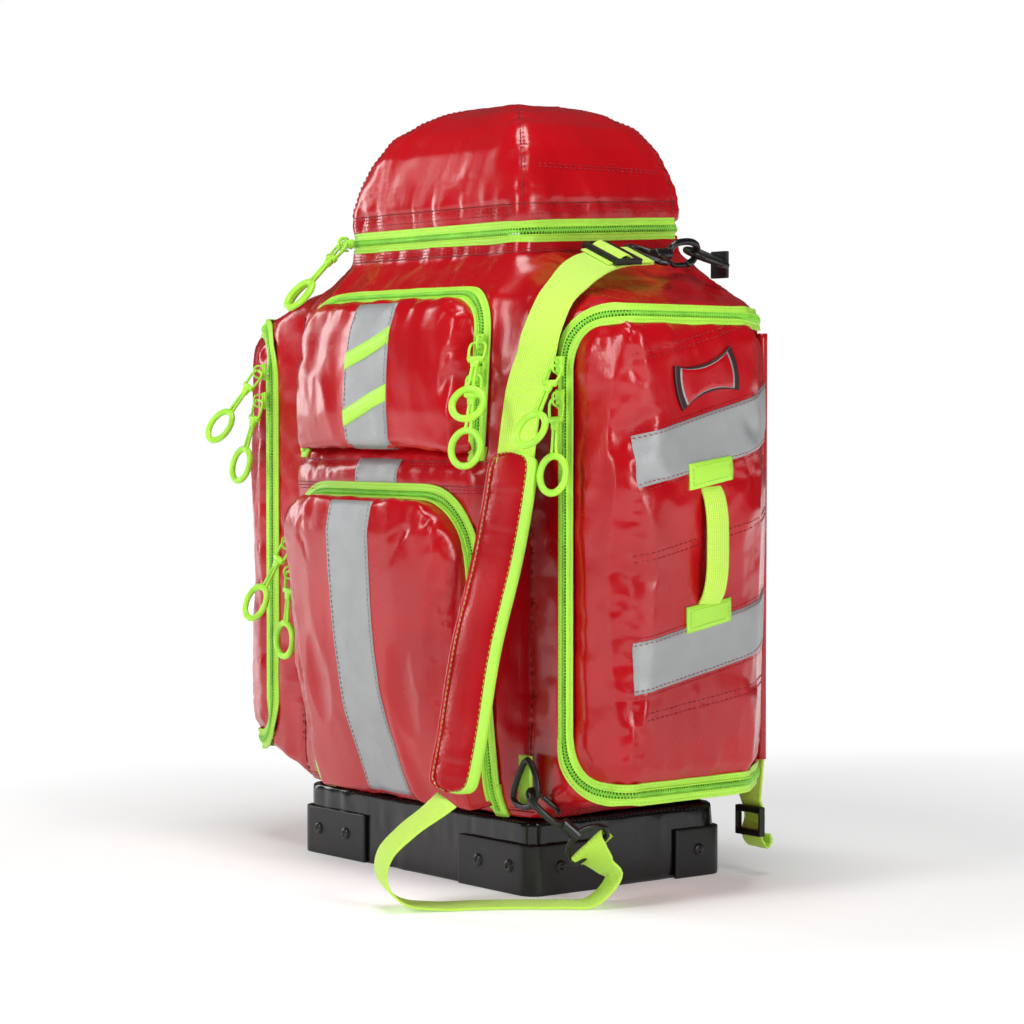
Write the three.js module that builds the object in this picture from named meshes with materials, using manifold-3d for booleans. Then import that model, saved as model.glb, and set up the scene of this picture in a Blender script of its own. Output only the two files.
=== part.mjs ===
// Trauma backpack: a boxy responder's pack on a moulded tub, with a zipped hood, two front pockets,
// two side pockets, a padded back harness and a clip-on shoulder sling.
// Millimetres, +Z up. The front faces -Y, the wearer's back is at +Y, the origin is under the base's centre.
import * as THREE from 'three';
import { mergeVertices } from 'three/addons/utils/BufferGeometryUtils.js';
import Module from 'manifold-3d';

const wasm = await Module();
wasm.setup();

// ---- Driving dimensions ----
const GAP = 0.4;                       // clearance between touching pieces
const SKIN = 7;                        // thickness of a padded panel
const WEBBING = 38;                    // width of the harness webbing
const BASE = { halfX: 155, front: -102, rear: 92, height: 59.5, floor: 8, corner: 12 };
const BUMPER = { thick: 4, tall: 40, frontWing: 90, sideWing: 66, rearWing: 48 };
const HOOD = { front: -83, rear: 86, rise: 9, seat: 515, band: 8 };
const FRONT_HALF = 119;                // half width of both front pockets' zippers
const UPPER = { bottom: 344, top: 471, corner: 34 };
const LOWER = { bottom: 64, top: 312, corner: 48 };
const SIDE = { hingeY: 96, low: 84.4, high: 454.6, corner: 34, zipX: 198.4 };
const ZIP = 7.6;                       // width of a closed zipper chain
const MAIN = { halfX: 148, front: -95, rear: 84, low: 8, high: 431 };
const TOP_ROOM = { halfX: 106, front: -72, rear: 74, low: 438 };

// ---- Materials ----
const finish = (color, roughness, metalness = 0) =>
  new THREE.MeshStandardMaterial({ color, roughness, metalness });
const red = finish(0xbe0010, 0.22);
const lime = finish(0xc8ff3c, 0.6);
const limePlastic = finish(0xb4f53c, 0.4);
const black = finish(0x191919, 0.45);
const blackFabric = finish(0x202020, 0.8);

const V = (x, y, z) => new THREE.Vector3(x, y, z);
const lerp = (a, b, t) => a + (b - a) * t;
const pack = new THREE.Group();

function place(name, geometry, material, parent = pack) {
  const mesh = new THREE.Mesh(geometry, material);
  mesh.name = name;
  parent.add(mesh);
  return mesh;
}

// ---- Solids: closed meshes, joined and cut ----
function solid(geometry) {
  const bare = geometry.index ? geometry.clone() : geometry;
  bare.deleteAttribute('normal');
  bare.deleteAttribute('uv');
  const merged = mergeVertices(bare, 1e-3);
  return new wasm.Manifold(new wasm.Mesh({
    numProp: 3,
    vertProperties: new Float32Array(merged.attributes.position.array),
    triVerts: new Uint32Array(merged.index.array),
  }));
}

function geometryOf(manifold) {
  const mesh = manifold.getMesh();
  const geometry = new THREE.BufferGeometry();
  geometry.setAttribute('position', new THREE.BufferAttribute(new Float32Array(mesh.vertProperties), 3));
  geometry.setIndex(new THREE.BufferAttribute(new Uint32Array(mesh.triVerts), 1));
  return geometry;
}

const joined = (...geometries) => geometryOf(geometries.map(solid).reduce((a, b) => a.add(b)));

// A skin through rings of equal count, closed at both ends by a fan round the end ring's middle.
function loft(rings) {
  const count = rings[0].length;
  const points = rings.flat();
  const faces = [];
  for (let level = 0; level < rings.length - 1; level += 1) {
    for (let i = 0; i < count; i += 1) {
      const j = (i + 1) % count;
      const [a, b] = [level * count + i, level * count + j];
      faces.push([a, b, b + count], [a, b + count, a + count]);
    }
  }
  const middle = (ring) => ring.reduce((sum, p) => sum.add(p), V(0, 0, 0)).divideScalar(count);
  const last = (rings.length - 1) * count;
  points.push(middle(rings[0]), middle(rings[rings.length - 1]));
  for (let i = 0; i < count; i += 1) {
    const j = (i + 1) % count;
    faces.push([points.length - 2, j, i], [points.length - 1, last + i, last + j]);
  }
  const volume = faces.reduce((sum, [a, b, c]) =>
    sum + points[a].dot(V(0, 0, 0).crossVectors(points[b], points[c])), 0);
  const outward = volume > 0 ? faces : faces.map(([a, b, c]) => [a, c, b]);
  const geometry = new THREE.BufferGeometry().setFromPoints(points);
  geometry.setIndex(outward.flat());
  return geometry;
}

function box(x0, x1, y0, y1, z0, z1) {
  const geometry = new THREE.BoxGeometry(x1 - x0, y1 - y0, z1 - z0);
  geometry.translate((x0 + x1) / 2, (y0 + y1) / 2, (z0 + z1) / 2);
  return geometry;
}

const mirrored = (ring) => [...ring, ...ring.slice(1, -1).reverse().map((p) => V(-p.x, p.y, p.z))];

// Moves each point of a level outline outwards by a distance, in its own plane.
function grown(ring, distance) {
  const count = ring.length;
  return ring.map((p, i) => {
    const before = ring[(i + count - 1) % count];
    const after = ring[(i + 1) % count];
    const run = V(after.x - before.x, after.y - before.y, 0).normalize();
    return V(p.x + run.y * distance, p.y - run.x * distance, p.z);
  });
}

// Flat webbing along a line: rings of four points, with the width direction given for each point.
function webbing(line, widthAt, width, thick, steps = 24) {
  const curve = new THREE.CatmullRomCurve3(line, false, 'centripetal');
  const rings = [];
  for (let i = 0; i <= steps; i += 1) {
    const t = i / steps;
    const centre = curve.getPoint(t);
    const along = curve.getTangent(t);
    const side = widthAt(t).clone().addScaledVector(along, -widthAt(t).dot(along)).normalize();
    const normal = V(0, 0, 0).crossVectors(along, side).normalize();
    const corner = (s, n) => centre.clone().addScaledVector(side, s * width / 2)
      .addScaledVector(normal, n * thick / 2);
    rings.push([corner(-1, -1), corner(1, -1), corner(1, 1), corner(-1, 1)]);
  }
  return loft(rings);
}

// A round bar along a line.
function bar(line, radius, steps, sides = 8, closed = false) {
  const section = new THREE.Shape(Array.from({ length: sides }, (_, i) => {
    const turn = (i / sides) * Math.PI * 2;
    return new THREE.Vector2(radius * Math.cos(turn), radius * Math.sin(turn));
  }));
  const path = new THREE.CatmullRomCurve3(line, closed, 'centripetal');
  return new THREE.ExtrudeGeometry(section, { steps, bevelEnabled: false, extrudePath: path });
}

// ---- The body's outline, level by level: right half, front centre to rear centre ----
const LEVELS = [
  // z, front centre, belly edge, then x and y of: crease, shoulder, ridge, rear ridge, rear corner; rear
  [60, -103, -103, [150, -101], [153, -96], [155, -84], [155, 40], [150, 90], 92],
  [75, -112, -110, [156, -104], [178, -103], [204, -88], [200, 41], [178, 93], 94],
  [88, -116, -113, [156, -104], [203, -106], [252, -88], [246, 41], [200, 95], 96],
  [130, -121, -118, [156, -104], [203, -106], [258, -88], [251, 40], [200, 95], 96],
  [300, -141, -135, [156, -104], [203, -106], [259, -88], [252, 40], [200, 95], 96],
  [328, -143, -135, [156, -104], [203, -106], [259, -88], [252, 40], [200, 95], 96],
  [344, -134, -127, [156, -104], [203, -106], [258, -88], [251, 40], [200, 95], 96],
  [440, -127, -121, [155, -104], [203, -106], [255, -87], [248, 40], [200, 95], 96],
  [455, -124, -118, [152, -104], [196, -105], [245, -86], [240, 41], [199, 95], 95],
  [467, -121, -114, [144, -102], [170, -100], [204, -82], [202, 44], [184, 94], 93],
  [484, -104, -98, [126, -94], [140, -88], [158, -72], [158, 50], [148, 91], 90],
  [500, -88, -86, [113, -84], [119, -76], [121, -60], [121, 52], [115, 86], 88],
  [524, -84, -84, [113, -82], [119, -75], [121, -60], [121, 52], [115, 84], 86],
];
const tilt = (y, z) => z + HOOD.rise * THREE.MathUtils.clamp((z - 484) / 16, 0, 1)
  * (y - HOOD.front) / (HOOD.rear - HOOD.front);

const bellyHalf = (z) => lerp(121, 98, THREE.MathUtils.clamp((z - 467) / 33, 0, 1));

function bodyRing([z, centre, edge, crease, shoulder, ridge, rearRidge, corner, rear]) {
  const half = [[0, centre], [64, lerp(centre, edge, 0.25)], [bellyHalf(z), edge], crease, shoulder, ridge,
    rearRidge, corner, [90, rear], [0, rear]];
  return mirrored(half.map(([x, y]) => V(x, y, tilt(y, z))));
}

const envelope = (distance = 0) => solid(loft(LEVELS.map((level) => grown(bodyRing(level), distance))));

// An upside-down U standing in the X-Z plane, driven through from front to back.
function arch(halfX, low, high, radius, y0, y1) {
  const shape = new THREE.Shape();
  shape.moveTo(-halfX, low);
  shape.lineTo(halfX, low);
  shape.lineTo(halfX, high - radius);
  shape.absarc(halfX - radius, high - radius, radius, 0, Math.PI / 2, false);
  shape.absarc(-halfX + radius, high - radius, radius, Math.PI / 2, Math.PI, false);
  const geometry = new THREE.ExtrudeGeometry(shape, { depth: y1 - y0, bevelEnabled: false, curveSegments: 6 });
  geometry.rotateX(Math.PI / 2);
  geometry.translate(0, y1, 0);
  return solid(geometry);
}

// The side pocket's outline from in front: straight outer side, rounded corners by the body.
function sideBlock(side, inner, low, high, radius) {
  const outer = 300;
  const shape = new THREE.Shape();
  shape.moveTo(outer, low);
  shape.lineTo(outer, high);
  shape.lineTo(inner + radius, high);
  shape.absarc(inner + radius, high - radius, radius, Math.PI / 2, Math.PI, false);
  shape.absarc(inner + radius, low + radius, radius, Math.PI, Math.PI * 1.5, false);
  const depth = 400;
  const geometry = new THREE.ExtrudeGeometry(shape, { depth, bevelEnabled: false, curveSegments: 5 });
  geometry.rotateX(Math.PI / 2);
  geometry.translate(0, depth / 2, 0);
  const block = solid(geometry);
  return side > 0 ? block : block.mirror([1, 0, 0]);
}

// ---- Body shell and its zipper chains ----
const BODY = envelope();
const CHAIN_BED = solid(box(-400, 400, -400, 400, 0, 700)).subtract(envelope(-4));
const CHAIN_SKIN = envelope(1.5).subtract(envelope(-3.5));
const lowerOuter = arch(FRONT_HALF + ZIP / 2, LOWER.bottom, LOWER.top + ZIP / 2, LOWER.corner, -260, -60);
const lowerInner = arch(FRONT_HALF - ZIP / 2, LOWER.bottom - 5, LOWER.top - ZIP / 2, LOWER.corner, -260, -60);
const upperOuter = arch(FRONT_HALF + ZIP / 2, UPPER.bottom, UPPER.top + ZIP / 2, UPPER.corner, -260, -60);
const upperInner = arch(FRONT_HALF - ZIP / 2, UPPER.bottom - 5, UPPER.top - ZIP / 2, UPPER.corner, -260, -60);

function hoodSlab(low, high) {
  const reach = 150;
  const corner = (x, y, z) => V(x, y, tilt(y, z));
  const level = (z) => [corner(-reach, -reach, z), corner(reach, -reach, z),
    corner(reach, reach, z), corner(-reach, reach, z)];
  return solid(loft([level(low), level(high)]));
}

function bodyShell() {
  let shell = BODY.subtract(hoodSlab(HOOD.seat, HOOD.seat + 60));
  shell = shell.subtract(CHAIN_BED.intersect(lowerOuter.add(upperOuter)));
  shell = shell.subtract(arch(FRONT_HALF - 12, LOWER.bottom + 8, LOWER.top - 12, LOWER.corner - 8, -260, -90));
  shell = shell.subtract(arch(FRONT_HALF - 12, UPPER.bottom + 8, UPPER.top - 12, UPPER.corner - 8, -260, -103));
  shell = shell.subtract(solid(box(-MAIN.halfX, MAIN.halfX, MAIN.front, MAIN.rear, 50, MAIN.high)));
  shell = shell.subtract(solid(box(-TOP_ROOM.halfX, TOP_ROOM.halfX, TOP_ROOM.front, TOP_ROOM.rear,
    TOP_ROOM.low, 560)));
  for (const side of [1, -1]) {
    shell = shell.subtract(sideBlock(side, SIDE.zipX - GAP, SIDE.low - GAP, SIDE.high + GAP, SIDE.corner));
    const [near, far] = side > 0 ? [160, 230] : [-230, -160];
    shell = shell.subtract(solid(box(near, far, -90, 80, 100, 432)));
  }
  return shell;
}
place('body_shell', geometryOf(bodyShell()), red);

const hoodChain = CHAIN_SKIN.intersect(hoodSlab(HOOD.seat + GAP, HOOD.seat + HOOD.band))
  .subtract(solid(box(-200, 200, 78, 200, 480, 600)));
place('zipper_hood', geometryOf(hoodChain), lime);
const frontChain = (outer, inner, low) => CHAIN_SKIN.intersect(outer).subtract(inner)
  .subtract(solid(box(-300, 300, -300, 300, 0, low)));
place('zipper_upper_pocket', geometryOf(frontChain(upperOuter, upperInner, UPPER.bottom + GAP)), lime);
place('zipper_lower_pocket', geometryOf(frontChain(lowerOuter, lowerInner, LOWER.bottom + GAP)), lime);

const sideChain = (side) => CHAIN_SKIN
  .intersect(sideBlock(side, SIDE.zipX, SIDE.low, SIDE.high, SIDE.corner))
  .subtract(sideBlock(side, SIDE.zipX + ZIP, SIDE.low + ZIP, SIDE.high - ZIP, SIDE.corner - 6))
  .subtract(solid(box(-400, 400, 88, 300, 0, 600)));
place('zipper_side_left', geometryOf(sideChain(-1)), lime);
place('zipper_side_right', geometryOf(sideChain(1)), lime);

// ---- Base tub and its corner bumpers ----
function roundedPlan(halfX, front, rear, radius, low, high) {
  const shape = new THREE.Shape();
  shape.moveTo(-halfX + radius, front);
  shape.absarc(halfX - radius, front + radius, radius, -Math.PI / 2, 0, false);
  shape.absarc(halfX - radius, rear - radius, radius, 0, Math.PI / 2, false);
  shape.absarc(-halfX + radius, rear - radius, radius, Math.PI / 2, Math.PI, false);
  shape.absarc(-halfX + radius, front + radius, radius, Math.PI, Math.PI * 1.5, false);
  const geometry = new THREE.ExtrudeGeometry(shape, { depth: high - low, bevelEnabled: false, curveSegments: 5 });
  geometry.translate(0, 0, low);
  return solid(geometry);
}
const tub = roundedPlan(BASE.halfX, BASE.front, BASE.rear, BASE.corner, 0, BASE.height)
  .subtract(solid(box(-MAIN.halfX, MAIN.halfX, MAIN.front, MAIN.rear, BASE.floor, 100)));
place('base_tub', geometryOf(tub), black);

function bumper(sideX, sideY) {
  const outer = roundedPlan(BASE.halfX + BUMPER.thick + GAP, BASE.front - BUMPER.thick - GAP,
    BASE.rear + BUMPER.thick + GAP, BASE.corner + 2, 0, BUMPER.tall);
  const inner = roundedPlan(BASE.halfX + GAP, BASE.front - GAP, BASE.rear + GAP, BASE.corner, -5, 90);
  const edgeX = BASE.halfX - BUMPER.frontWing;
  const edgeY = sideY < 0 ? BASE.front + BUMPER.sideWing : BASE.rear - BUMPER.rearWing;
  const keepX = sideX > 0 ? [edgeX, 200] : [-200, -edgeX];
  const keepY = sideY < 0 ? [-200, edgeY] : [edgeY, 200];
  return outer.subtract(inner).intersect(solid(box(...keepX, ...keepY, -5, 90)));
}
for (const [name, x, y] of [['front_left', -1, -1], ['front_right', 1, -1], ['rear_left', -1, 1],
  ['rear_right', 1, 1]]) {
  place(`corner_bumper_${name}`, geometryOf(bumper(x, y)), black);
}

// ---- Hood lid: a hollow dome hinged along its rear edge ----
const DOME = [[523.6, 1], [541, 1.005], [563, 0.95], [585, 0.87], [604, 0.74], [617, 0.56], [625, 0.34],
  [629.5, 0.12]];
function domeRing([z, scale], inset) {
  const middle = (HOOD.front + HOOD.rear) / 2;
  const ring = bodyRing([524, ...LEVELS[LEVELS.length - 1].slice(1)]);
  return ring.map((p) => {
    const rise = (tilt(p.y, 524) - 524) * THREE.MathUtils.clamp((630 - z) / 106, 0, 1);
    const reach = scale - inset / 110;
    return V(p.x * reach, middle + (p.y - middle) * reach, z + rise - (z > 530 ? inset : 0));
  });
}
const domeSkin = solid(loft(DOME.map((level) => domeRing(level, 0))));
const domeRoom = solid(loft([[515, 1], ...DOME.slice(1, -1)].map((level) => domeRing(level, SKIN))));
place('hood_lid', geometryOf(domeSkin.subtract(domeRoom)), red);

// ---- Front pocket panels: crowned covers, hollow behind ----
function crownedBlock(halfX, low, high, centreAt, edgeAt, inset) {
  const levels = 9;
  const rings = Array.from({ length: levels }, (_, i) => {
    const z = lerp(low, high, i / (levels - 1));
    const half = [[0, 0], [0.5, 0.06], [0.86, 0.3], [1, 0.8], [1, null]];
    const y = (sag) => (sag === null ? -80 : lerp(centreAt(z), edgeAt(z), sag) + inset);
    const ring = half.map(([x, sag]) => V(x * (halfX - inset), y(sag), z));
    return [...ring, ...ring.slice(1).reverse().map((p) => V(-p.x, p.y, p.z))];
  });
  return solid(loft(rings));
}
const track = (pairs) => (z) => {
  const next = Math.max(1, pairs.findIndex(([level]) => level >= z));
  const [[z0, a], [z1, b]] = [pairs[next - 1], pairs[next]];
  return lerp(a, b, (z - z0) / (z1 - z0));
};
const bodyEdge = (z) => track(LEVELS.map(([level, , edge]) => [level, edge]))(z);

function pocketPanel(rim, low, high, crown) {
  const halfX = FRONT_HALF - ZIP / 2 - GAP;
  const radius = rim.corner;
  const cover = arch(halfX, low, high - ZIP / 2 - GAP, radius, -260, -60);
  const outer = crownedBlock(halfX + 3, low, high, crown, (z) => bodyEdge(z) - 2, 0);
  const room = crownedBlock(halfX, low - 20, high + 20, (z) => crown(THREE.MathUtils.clamp(z, low, high)),
    (z) => bodyEdge(z) - 2, SKIN);
  const hollow = arch(halfX - SKIN, low + SKIN, high - ZIP / 2 - SKIN, radius - 5, -260, -60);
  const seat = BODY.translate([0, -GAP, 0]);
  return cover.intersect(outer).subtract(room.intersect(hollow)).subtract(seat);
}
const lowerCrown = track([[0, -119], [64, -121], [143, -151], [190, -158], [275, -165], [300, -163], [340, -150]]);
const upperCrown = track([[0, -136], [344, -143], [376, -147], [403, -146], [445, -140], [460, -133], [500, -128]]);
place('lower_pocket_panel', geometryOf(pocketPanel(LOWER, LOWER.bottom + 2, LOWER.top, lowerCrown)), red);
place('upper_pocket_panel', geometryOf(pocketPanel(UPPER, UPPER.bottom + 2, UPPER.top, upperCrown)), red);

// ---- Side pocket panels: deep dishes hinged along the rear corner ----
function sidePanel(side) {
  const inset = SIDE.zipX + ZIP + GAP;
  const [low, high] = [SIDE.low + ZIP + GAP, SIDE.high - ZIP - GAP];
  const block = BODY.intersect(sideBlock(side, inset, low, high, SIDE.corner - 7));
  const room = envelope(-SKIN).intersect(sideBlock(side, 150, low + SKIN, high - SKIN, 4));
  const hinge = box(-400, 400, SIDE.hingeY - 4, 300, 0, 600);
  return block.subtract(room).subtract(solid(hinge));
}
place('side_pocket_panel_left', geometryOf(sidePanel(-1)), red);
place('side_pocket_panel_right', geometryOf(sidePanel(1)), red);

// Webbing grab handle on the side pocket's outer face.
function grabHandle(side) {
  const face = (y) => side * (lerp(258.6, 251.6, (y + 88) / 128) + GAP);
  const [y, low, high] = [-12, 221, 331];
  const x = face(y);
  const line = [V(x + side * 2, y, low - 10), V(x + side * 2.2, y, low + 8), V(x + side * 13, y, low + 26),
    V(x + side * 18, y, (low + high) / 2), V(x + side * 13, y, high - 26),
    V(x + side * 2.2, y, high - 8), V(x + side * 2, y, high + 10)];
  const strap = solid(webbing(line, () => V(0, 1, 0), 22, 2.4, 20));
  const skin = solid(webbing([V(x + side * 2, y, low - 19), V(x + side * 2, y, high + 19)], () => V(0, 1, 0), 60, 4, 1));
  return geometryOf(strap.subtract(BODY.translate([side * GAP, 0, 0]).intersect(skin.add(BODY))));
}
place('grab_handle_left', grabHandle(-1), lime);
place('grab_handle_right', grabHandle(1), lime);

// ---- Zipper sliders, each with its own moulded ring pull ----
const SLIDER = { half: 3.7, length: 15, plate: 4, pin: 6.4, top: 11.4, lift: 5.2, post: 1.2 };
const PULL = { ring: 12.3, wire: 2.3, drop: 58, arm: 15, half: 6, rod: 1.2 };

// The plate lies along Z on an upright zipper and along X on the hood's level one.
function sliderBody(upright) {
  const { half, length, plate, top, post } = SLIDER;
  const [x, z] = upright ? [half, length / 2] : [length / 2, half];
  return joined(box(-x, x, -plate, 0, -z, z), box(-1.6, 1.6, -plate, 0, -4.8, 4.8),
    box(-post, post, -top, -plate + 1, 3.2, 4.8), box(-post, post, -top, -plate + 1, -4.8, -3.2),
    box(-post, post, -top, -top + 1.8, -4.8, 4.8));
}

function ringPull() {
  const { ring, wire, drop, arm, half, rod } = PULL;
  const loop = new THREE.TorusGeometry(ring, wire, 8, 18);
  loop.rotateX(Math.PI / 2);
  loop.scale(1, 1, 1.16);
  loop.translate(0, 0, -drop);
  const neckEnd = drop - ring * 1.16;
  return joined(box(-half - rod, half + rod, -rod, rod, -rod, rod),
    box(-half - rod, -half + rod, -rod, rod, -arm, 0), box(half - rod, half + rod, -rod, rod, -arm, 0),
    box(-half - rod, half + rod, -2, 2, -arm - 3, -arm + 1),
    box(-2.4, 2.4, -1.6, 1.6, -neckEnd, -arm), loop);
}
const uprightSlider = sliderBody(true);
const levelSlider = sliderBody(false);
const pullGeometry = ringPull();

// Turns a piece so that its own -Y looks along `out` and its own Z runs along `up`.
function aim(mesh, at, out, up) {
  const z = up.clone().normalize();
  const y = out.clone().negate().addScaledVector(z, out.dot(z)).normalize();
  const x = V(0, 0, 0).crossVectors(y, z);
  mesh.applyMatrix4(new THREE.Matrix4().makeBasis(x, y, z).setPosition(at));
}

// The way a pull hangs: straight down, turned sideways by `splay`, lifted outwards by `lean` degrees.
function hangingWay(out, up, lean, splay) {
  const side = V(0, 0, 0).crossVectors(up, out).normalize();
  const [tip, turn] = [THREE.MathUtils.degToRad(lean), THREE.MathUtils.degToRad(splay)];
  return up.clone().multiplyScalar(-Math.cos(turn)).addScaledVector(side, Math.sin(turn))
    .multiplyScalar(Math.cos(tip)).addScaledVector(out, Math.sin(tip));
}

// name, seat on the zipper, way out, up along the slider, lean and splay of its pull
const SLIDERS = [
  ['hood_front', V(-106, -85, 519), V(-0.1, -1, 0), V(0, 0, 1), 41, -10],
  ['hood_left', V(-125.5, -68, 520), V(-0.6, -0.8, 0), V(0, 0, 1), 42, -4],
  ['upper_pocket_high', V(119, -122, 430), V(0.6, -0.8, 0), V(0, 0.0624, 1), 33, 3],
  ['upper_pocket_low', V(119, -123.4, 405), V(0.46, -0.89, 0), V(0, 0.0624, 1), 10, 0],
  ['lower_pocket_high', V(-119, -131.8, 268), V(-0.6, -0.8, 0), V(0, -0.1, 0.995), 33, -3],
  ['lower_pocket_low', V(-119, -129.6, 243), V(-0.6, -0.8, 0), V(0, -0.1, 0.995), 10, -3],
  ['left_pocket_high', V(-202, -106, 412), V(-0.5, -0.87, 0), V(0, 0, 1), 36, -3],
  ['left_pocket_low', V(-202, -106, 387), V(-0.5, -0.87, 0), V(0, 0, 1), 16, -3],
  ['right_pocket_high', V(202, -106, 412), V(0.25, -0.97, 0), V(0, 0, 1), 34, 0],
  ['right_pocket_low', V(202, -106, 387), V(0.25, -0.97, 0), V(0, 0, 1), 10, 4],
];
for (const [name, seat, out, up, lean, splay] of SLIDERS) {
  const way = out.clone().addScaledVector(up, -out.dot(up) / up.lengthSq()).normalize();
  const base = seat.clone().addScaledVector(way, SLIDER.lift);
  const geometry = name.startsWith('hood') ? levelSlider : uprightSlider;
  aim(place(`slider_${name}`, geometry, limePlastic), base, way, up);
  const pin = base.clone().addScaledVector(way, SLIDER.pin);
  const hang = hangingWay(way, up.clone().normalize(), lean, splay);
  aim(place(`pull_${name}`, pullGeometry, limePlastic), pin, way, hang.negate());
}

// ---- Back panel, inner sheet, harness and haul handle ----
const BACK = { halfX: 138, low: 74, high: 478, front: 96.6, rear: 112 };
const backPad = roundedPlan(BACK.halfX, BACK.low, BACK.high, 34, 0, BACK.rear - BACK.front).rotate([90, 0, 0])
  .translate([0, BACK.rear, 0]).subtract(envelope(GAP));
place('back_panel', geometryOf(backPad), blackFabric);
place('frame_sheet', box(-140, 140, 79, 82, 64, 428), black);
place('main_divider', box(-140, 140, -90, 77, 250, 254), blackFabric);

for (const side of [-1, 1]) {
  const hand = side < 0 ? 'left' : 'right';
  const across = (t) => V(1, 0, 0).applyAxisAngle(V(0, 1, 0), side * lerp(0.15, -0.3, t));
  const padLine = [V(side * 52, 123, 446), V(side * 58, 131, 400), V(side * 76, 139, 330),
    V(side * 88, 139, 260), V(side * 92, 130, 205)];
  place(`harness_strap_${hand}`, webbing(padLine, across, 66, 9, 10), blackFabric);
  const tailLine = [V(side * 92, 128, 196), V(side * 140, 124, 156), V(side * 178, 113, 116),
    V(side * 179, 109, 86), V(side * 176, 109, 61)];
  const tailAcross = (t) => V(1, 0, 0).applyAxisAngle(V(0, 1, 0),
    side * lerp(-0.82, 0, THREE.MathUtils.smoothstep(t, 0.45, 0.8)));
  place(`harness_webbing_${hand}`, webbing(tailLine, tailAcross, 25, 2.4, 14), lime);
  const lock = joined(box(-15, 15, -3, 3, -12, -7), box(-15, 15, -3, 3, 7, 12), box(-15, -12.6, -3, 3, -9, 9),
    box(12.6, 15, -3, 3, -9, 9));
  place(`ladder_lock_${hand}`, lock, black).position.set(side * 176, 109, 44);
}
const haulLine = [V(-46, 123, 462), V(-44, 125, 470), V(-30, 131, 481), V(0, 134, 485), V(30, 131, 481),
  V(44, 125, 470), V(46, 123, 462)];
place('haul_handle', webbing(haulLine, () => V(0, 0.5, -0.87), 22, 5, 16), lime);

// ---- Shoulder sling: D-rings, snap hooks with sprung gates, webbing, tri-glide and pad ----
const D_RING = { half: 18, reach: 26, wire: 2.7 };
const dRing = () => {
  const { half, reach, wire } = D_RING;
  const line = [V(0, 0, -half), V(0, 0, half), V(reach * 0.45, 0, half * 0.95), V(reach * 0.9, 0, half * 0.5),
    V(reach, 0, 0), V(reach * 0.9, 0, -half * 0.5), V(reach * 0.45, 0, -half * 0.95)];
  return geometryOf(solid(bar(line, wire, 20, 8, true)));
};

// A snap hook lying along X: webbing loop at the start, barrel, then an open hook that the gate closes.
const HOOK = { barrel: 20, wire: 3.1, half: 9.5, tip: 62, eye: 20, held: 55.5 };
function snapHook() {
  const { barrel, wire, half, tip, eye } = HOOK;
  const loop = [V(-2, 0, -eye), V(-2, 0, eye), V(4, 0, eye), V(12, 0, 8), V(12, 0, -8), V(4, 0, -eye)];
  const hook = [V(barrel + 6, 0, 0), V(barrel + 11, half * 0.8, 0), V(barrel + 17, half, 0), V(tip - 9, half, 0),
    V(tip - 1, half * 0.6, 0), V(tip, 0, 0), V(tip - 1, -half * 0.6, 0), V(tip - 9, -half, 0)];
  const core = new THREE.CylinderGeometry(5, 5, barrel - 2, 12);
  core.rotateZ(Math.PI / 2);
  core.translate(barrel - 1, 0, 0);
  return joined(bar(loop, 2.6, 18, 8, true), core, bar(hook, wire, 16));
}
const gateGeometry = joined(bar([V(HOOK.barrel + 12.6, -7.2, 0), V(HOOK.barrel + 17, -HOOK.half, 0),
  V(HOOK.tip - 11, -HOOK.half, 0)], 2.2, 6));

// A D-ring at `root` reaching along `reach`, and a snap hook that holds its far bar and trails along `trail`.
function hookedRing(name, root, reach, across, trail) {
  const x = reach.clone().normalize();
  const z = across.clone().addScaledVector(x, -across.dot(x)).normalize();
  const ringFrame = new THREE.Matrix4().makeBasis(x, V(0, 0, 0).crossVectors(z, x), z).setPosition(root);
  place(`d_ring_${name}`, dRing(), black).applyMatrix4(ringFrame);
  const hookX = trail.clone().normalize().negate();
  const hookZ = z.clone().addScaledVector(hookX, -z.dot(hookX)).normalize();
  const eye = root.clone().addScaledVector(x, D_RING.reach).addScaledVector(hookX, -HOOK.held);
  const frame = new THREE.Matrix4().makeBasis(hookX, V(0, 0, 0).crossVectors(hookZ, hookX), hookZ)
    .setPosition(eye);
  place(`snap_hook_${name}`, snapHook(), black).applyMatrix4(frame);
  place(`hook_gate_${name}`, gateGeometry, black).applyMatrix4(frame);
}
hookedRing('upper', V(152, 88, 502), V(0.1, -0.98, 0.12), V(0.93, 0.1, -0.36), V(0.15, -0.98, -0.06));
hookedRing('lower', V(161, -118, 94), V(0.88, -0.1, -0.47), V(0.47, 0, 0.88), V(0.4, 0.62, -0.67));
place('ring_tab_upper', box(142, 161, 95, 98, 486, 508), lime);
place('ring_tab_lower', box(154, 168, -114, -111, 74, 112), lime);

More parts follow.
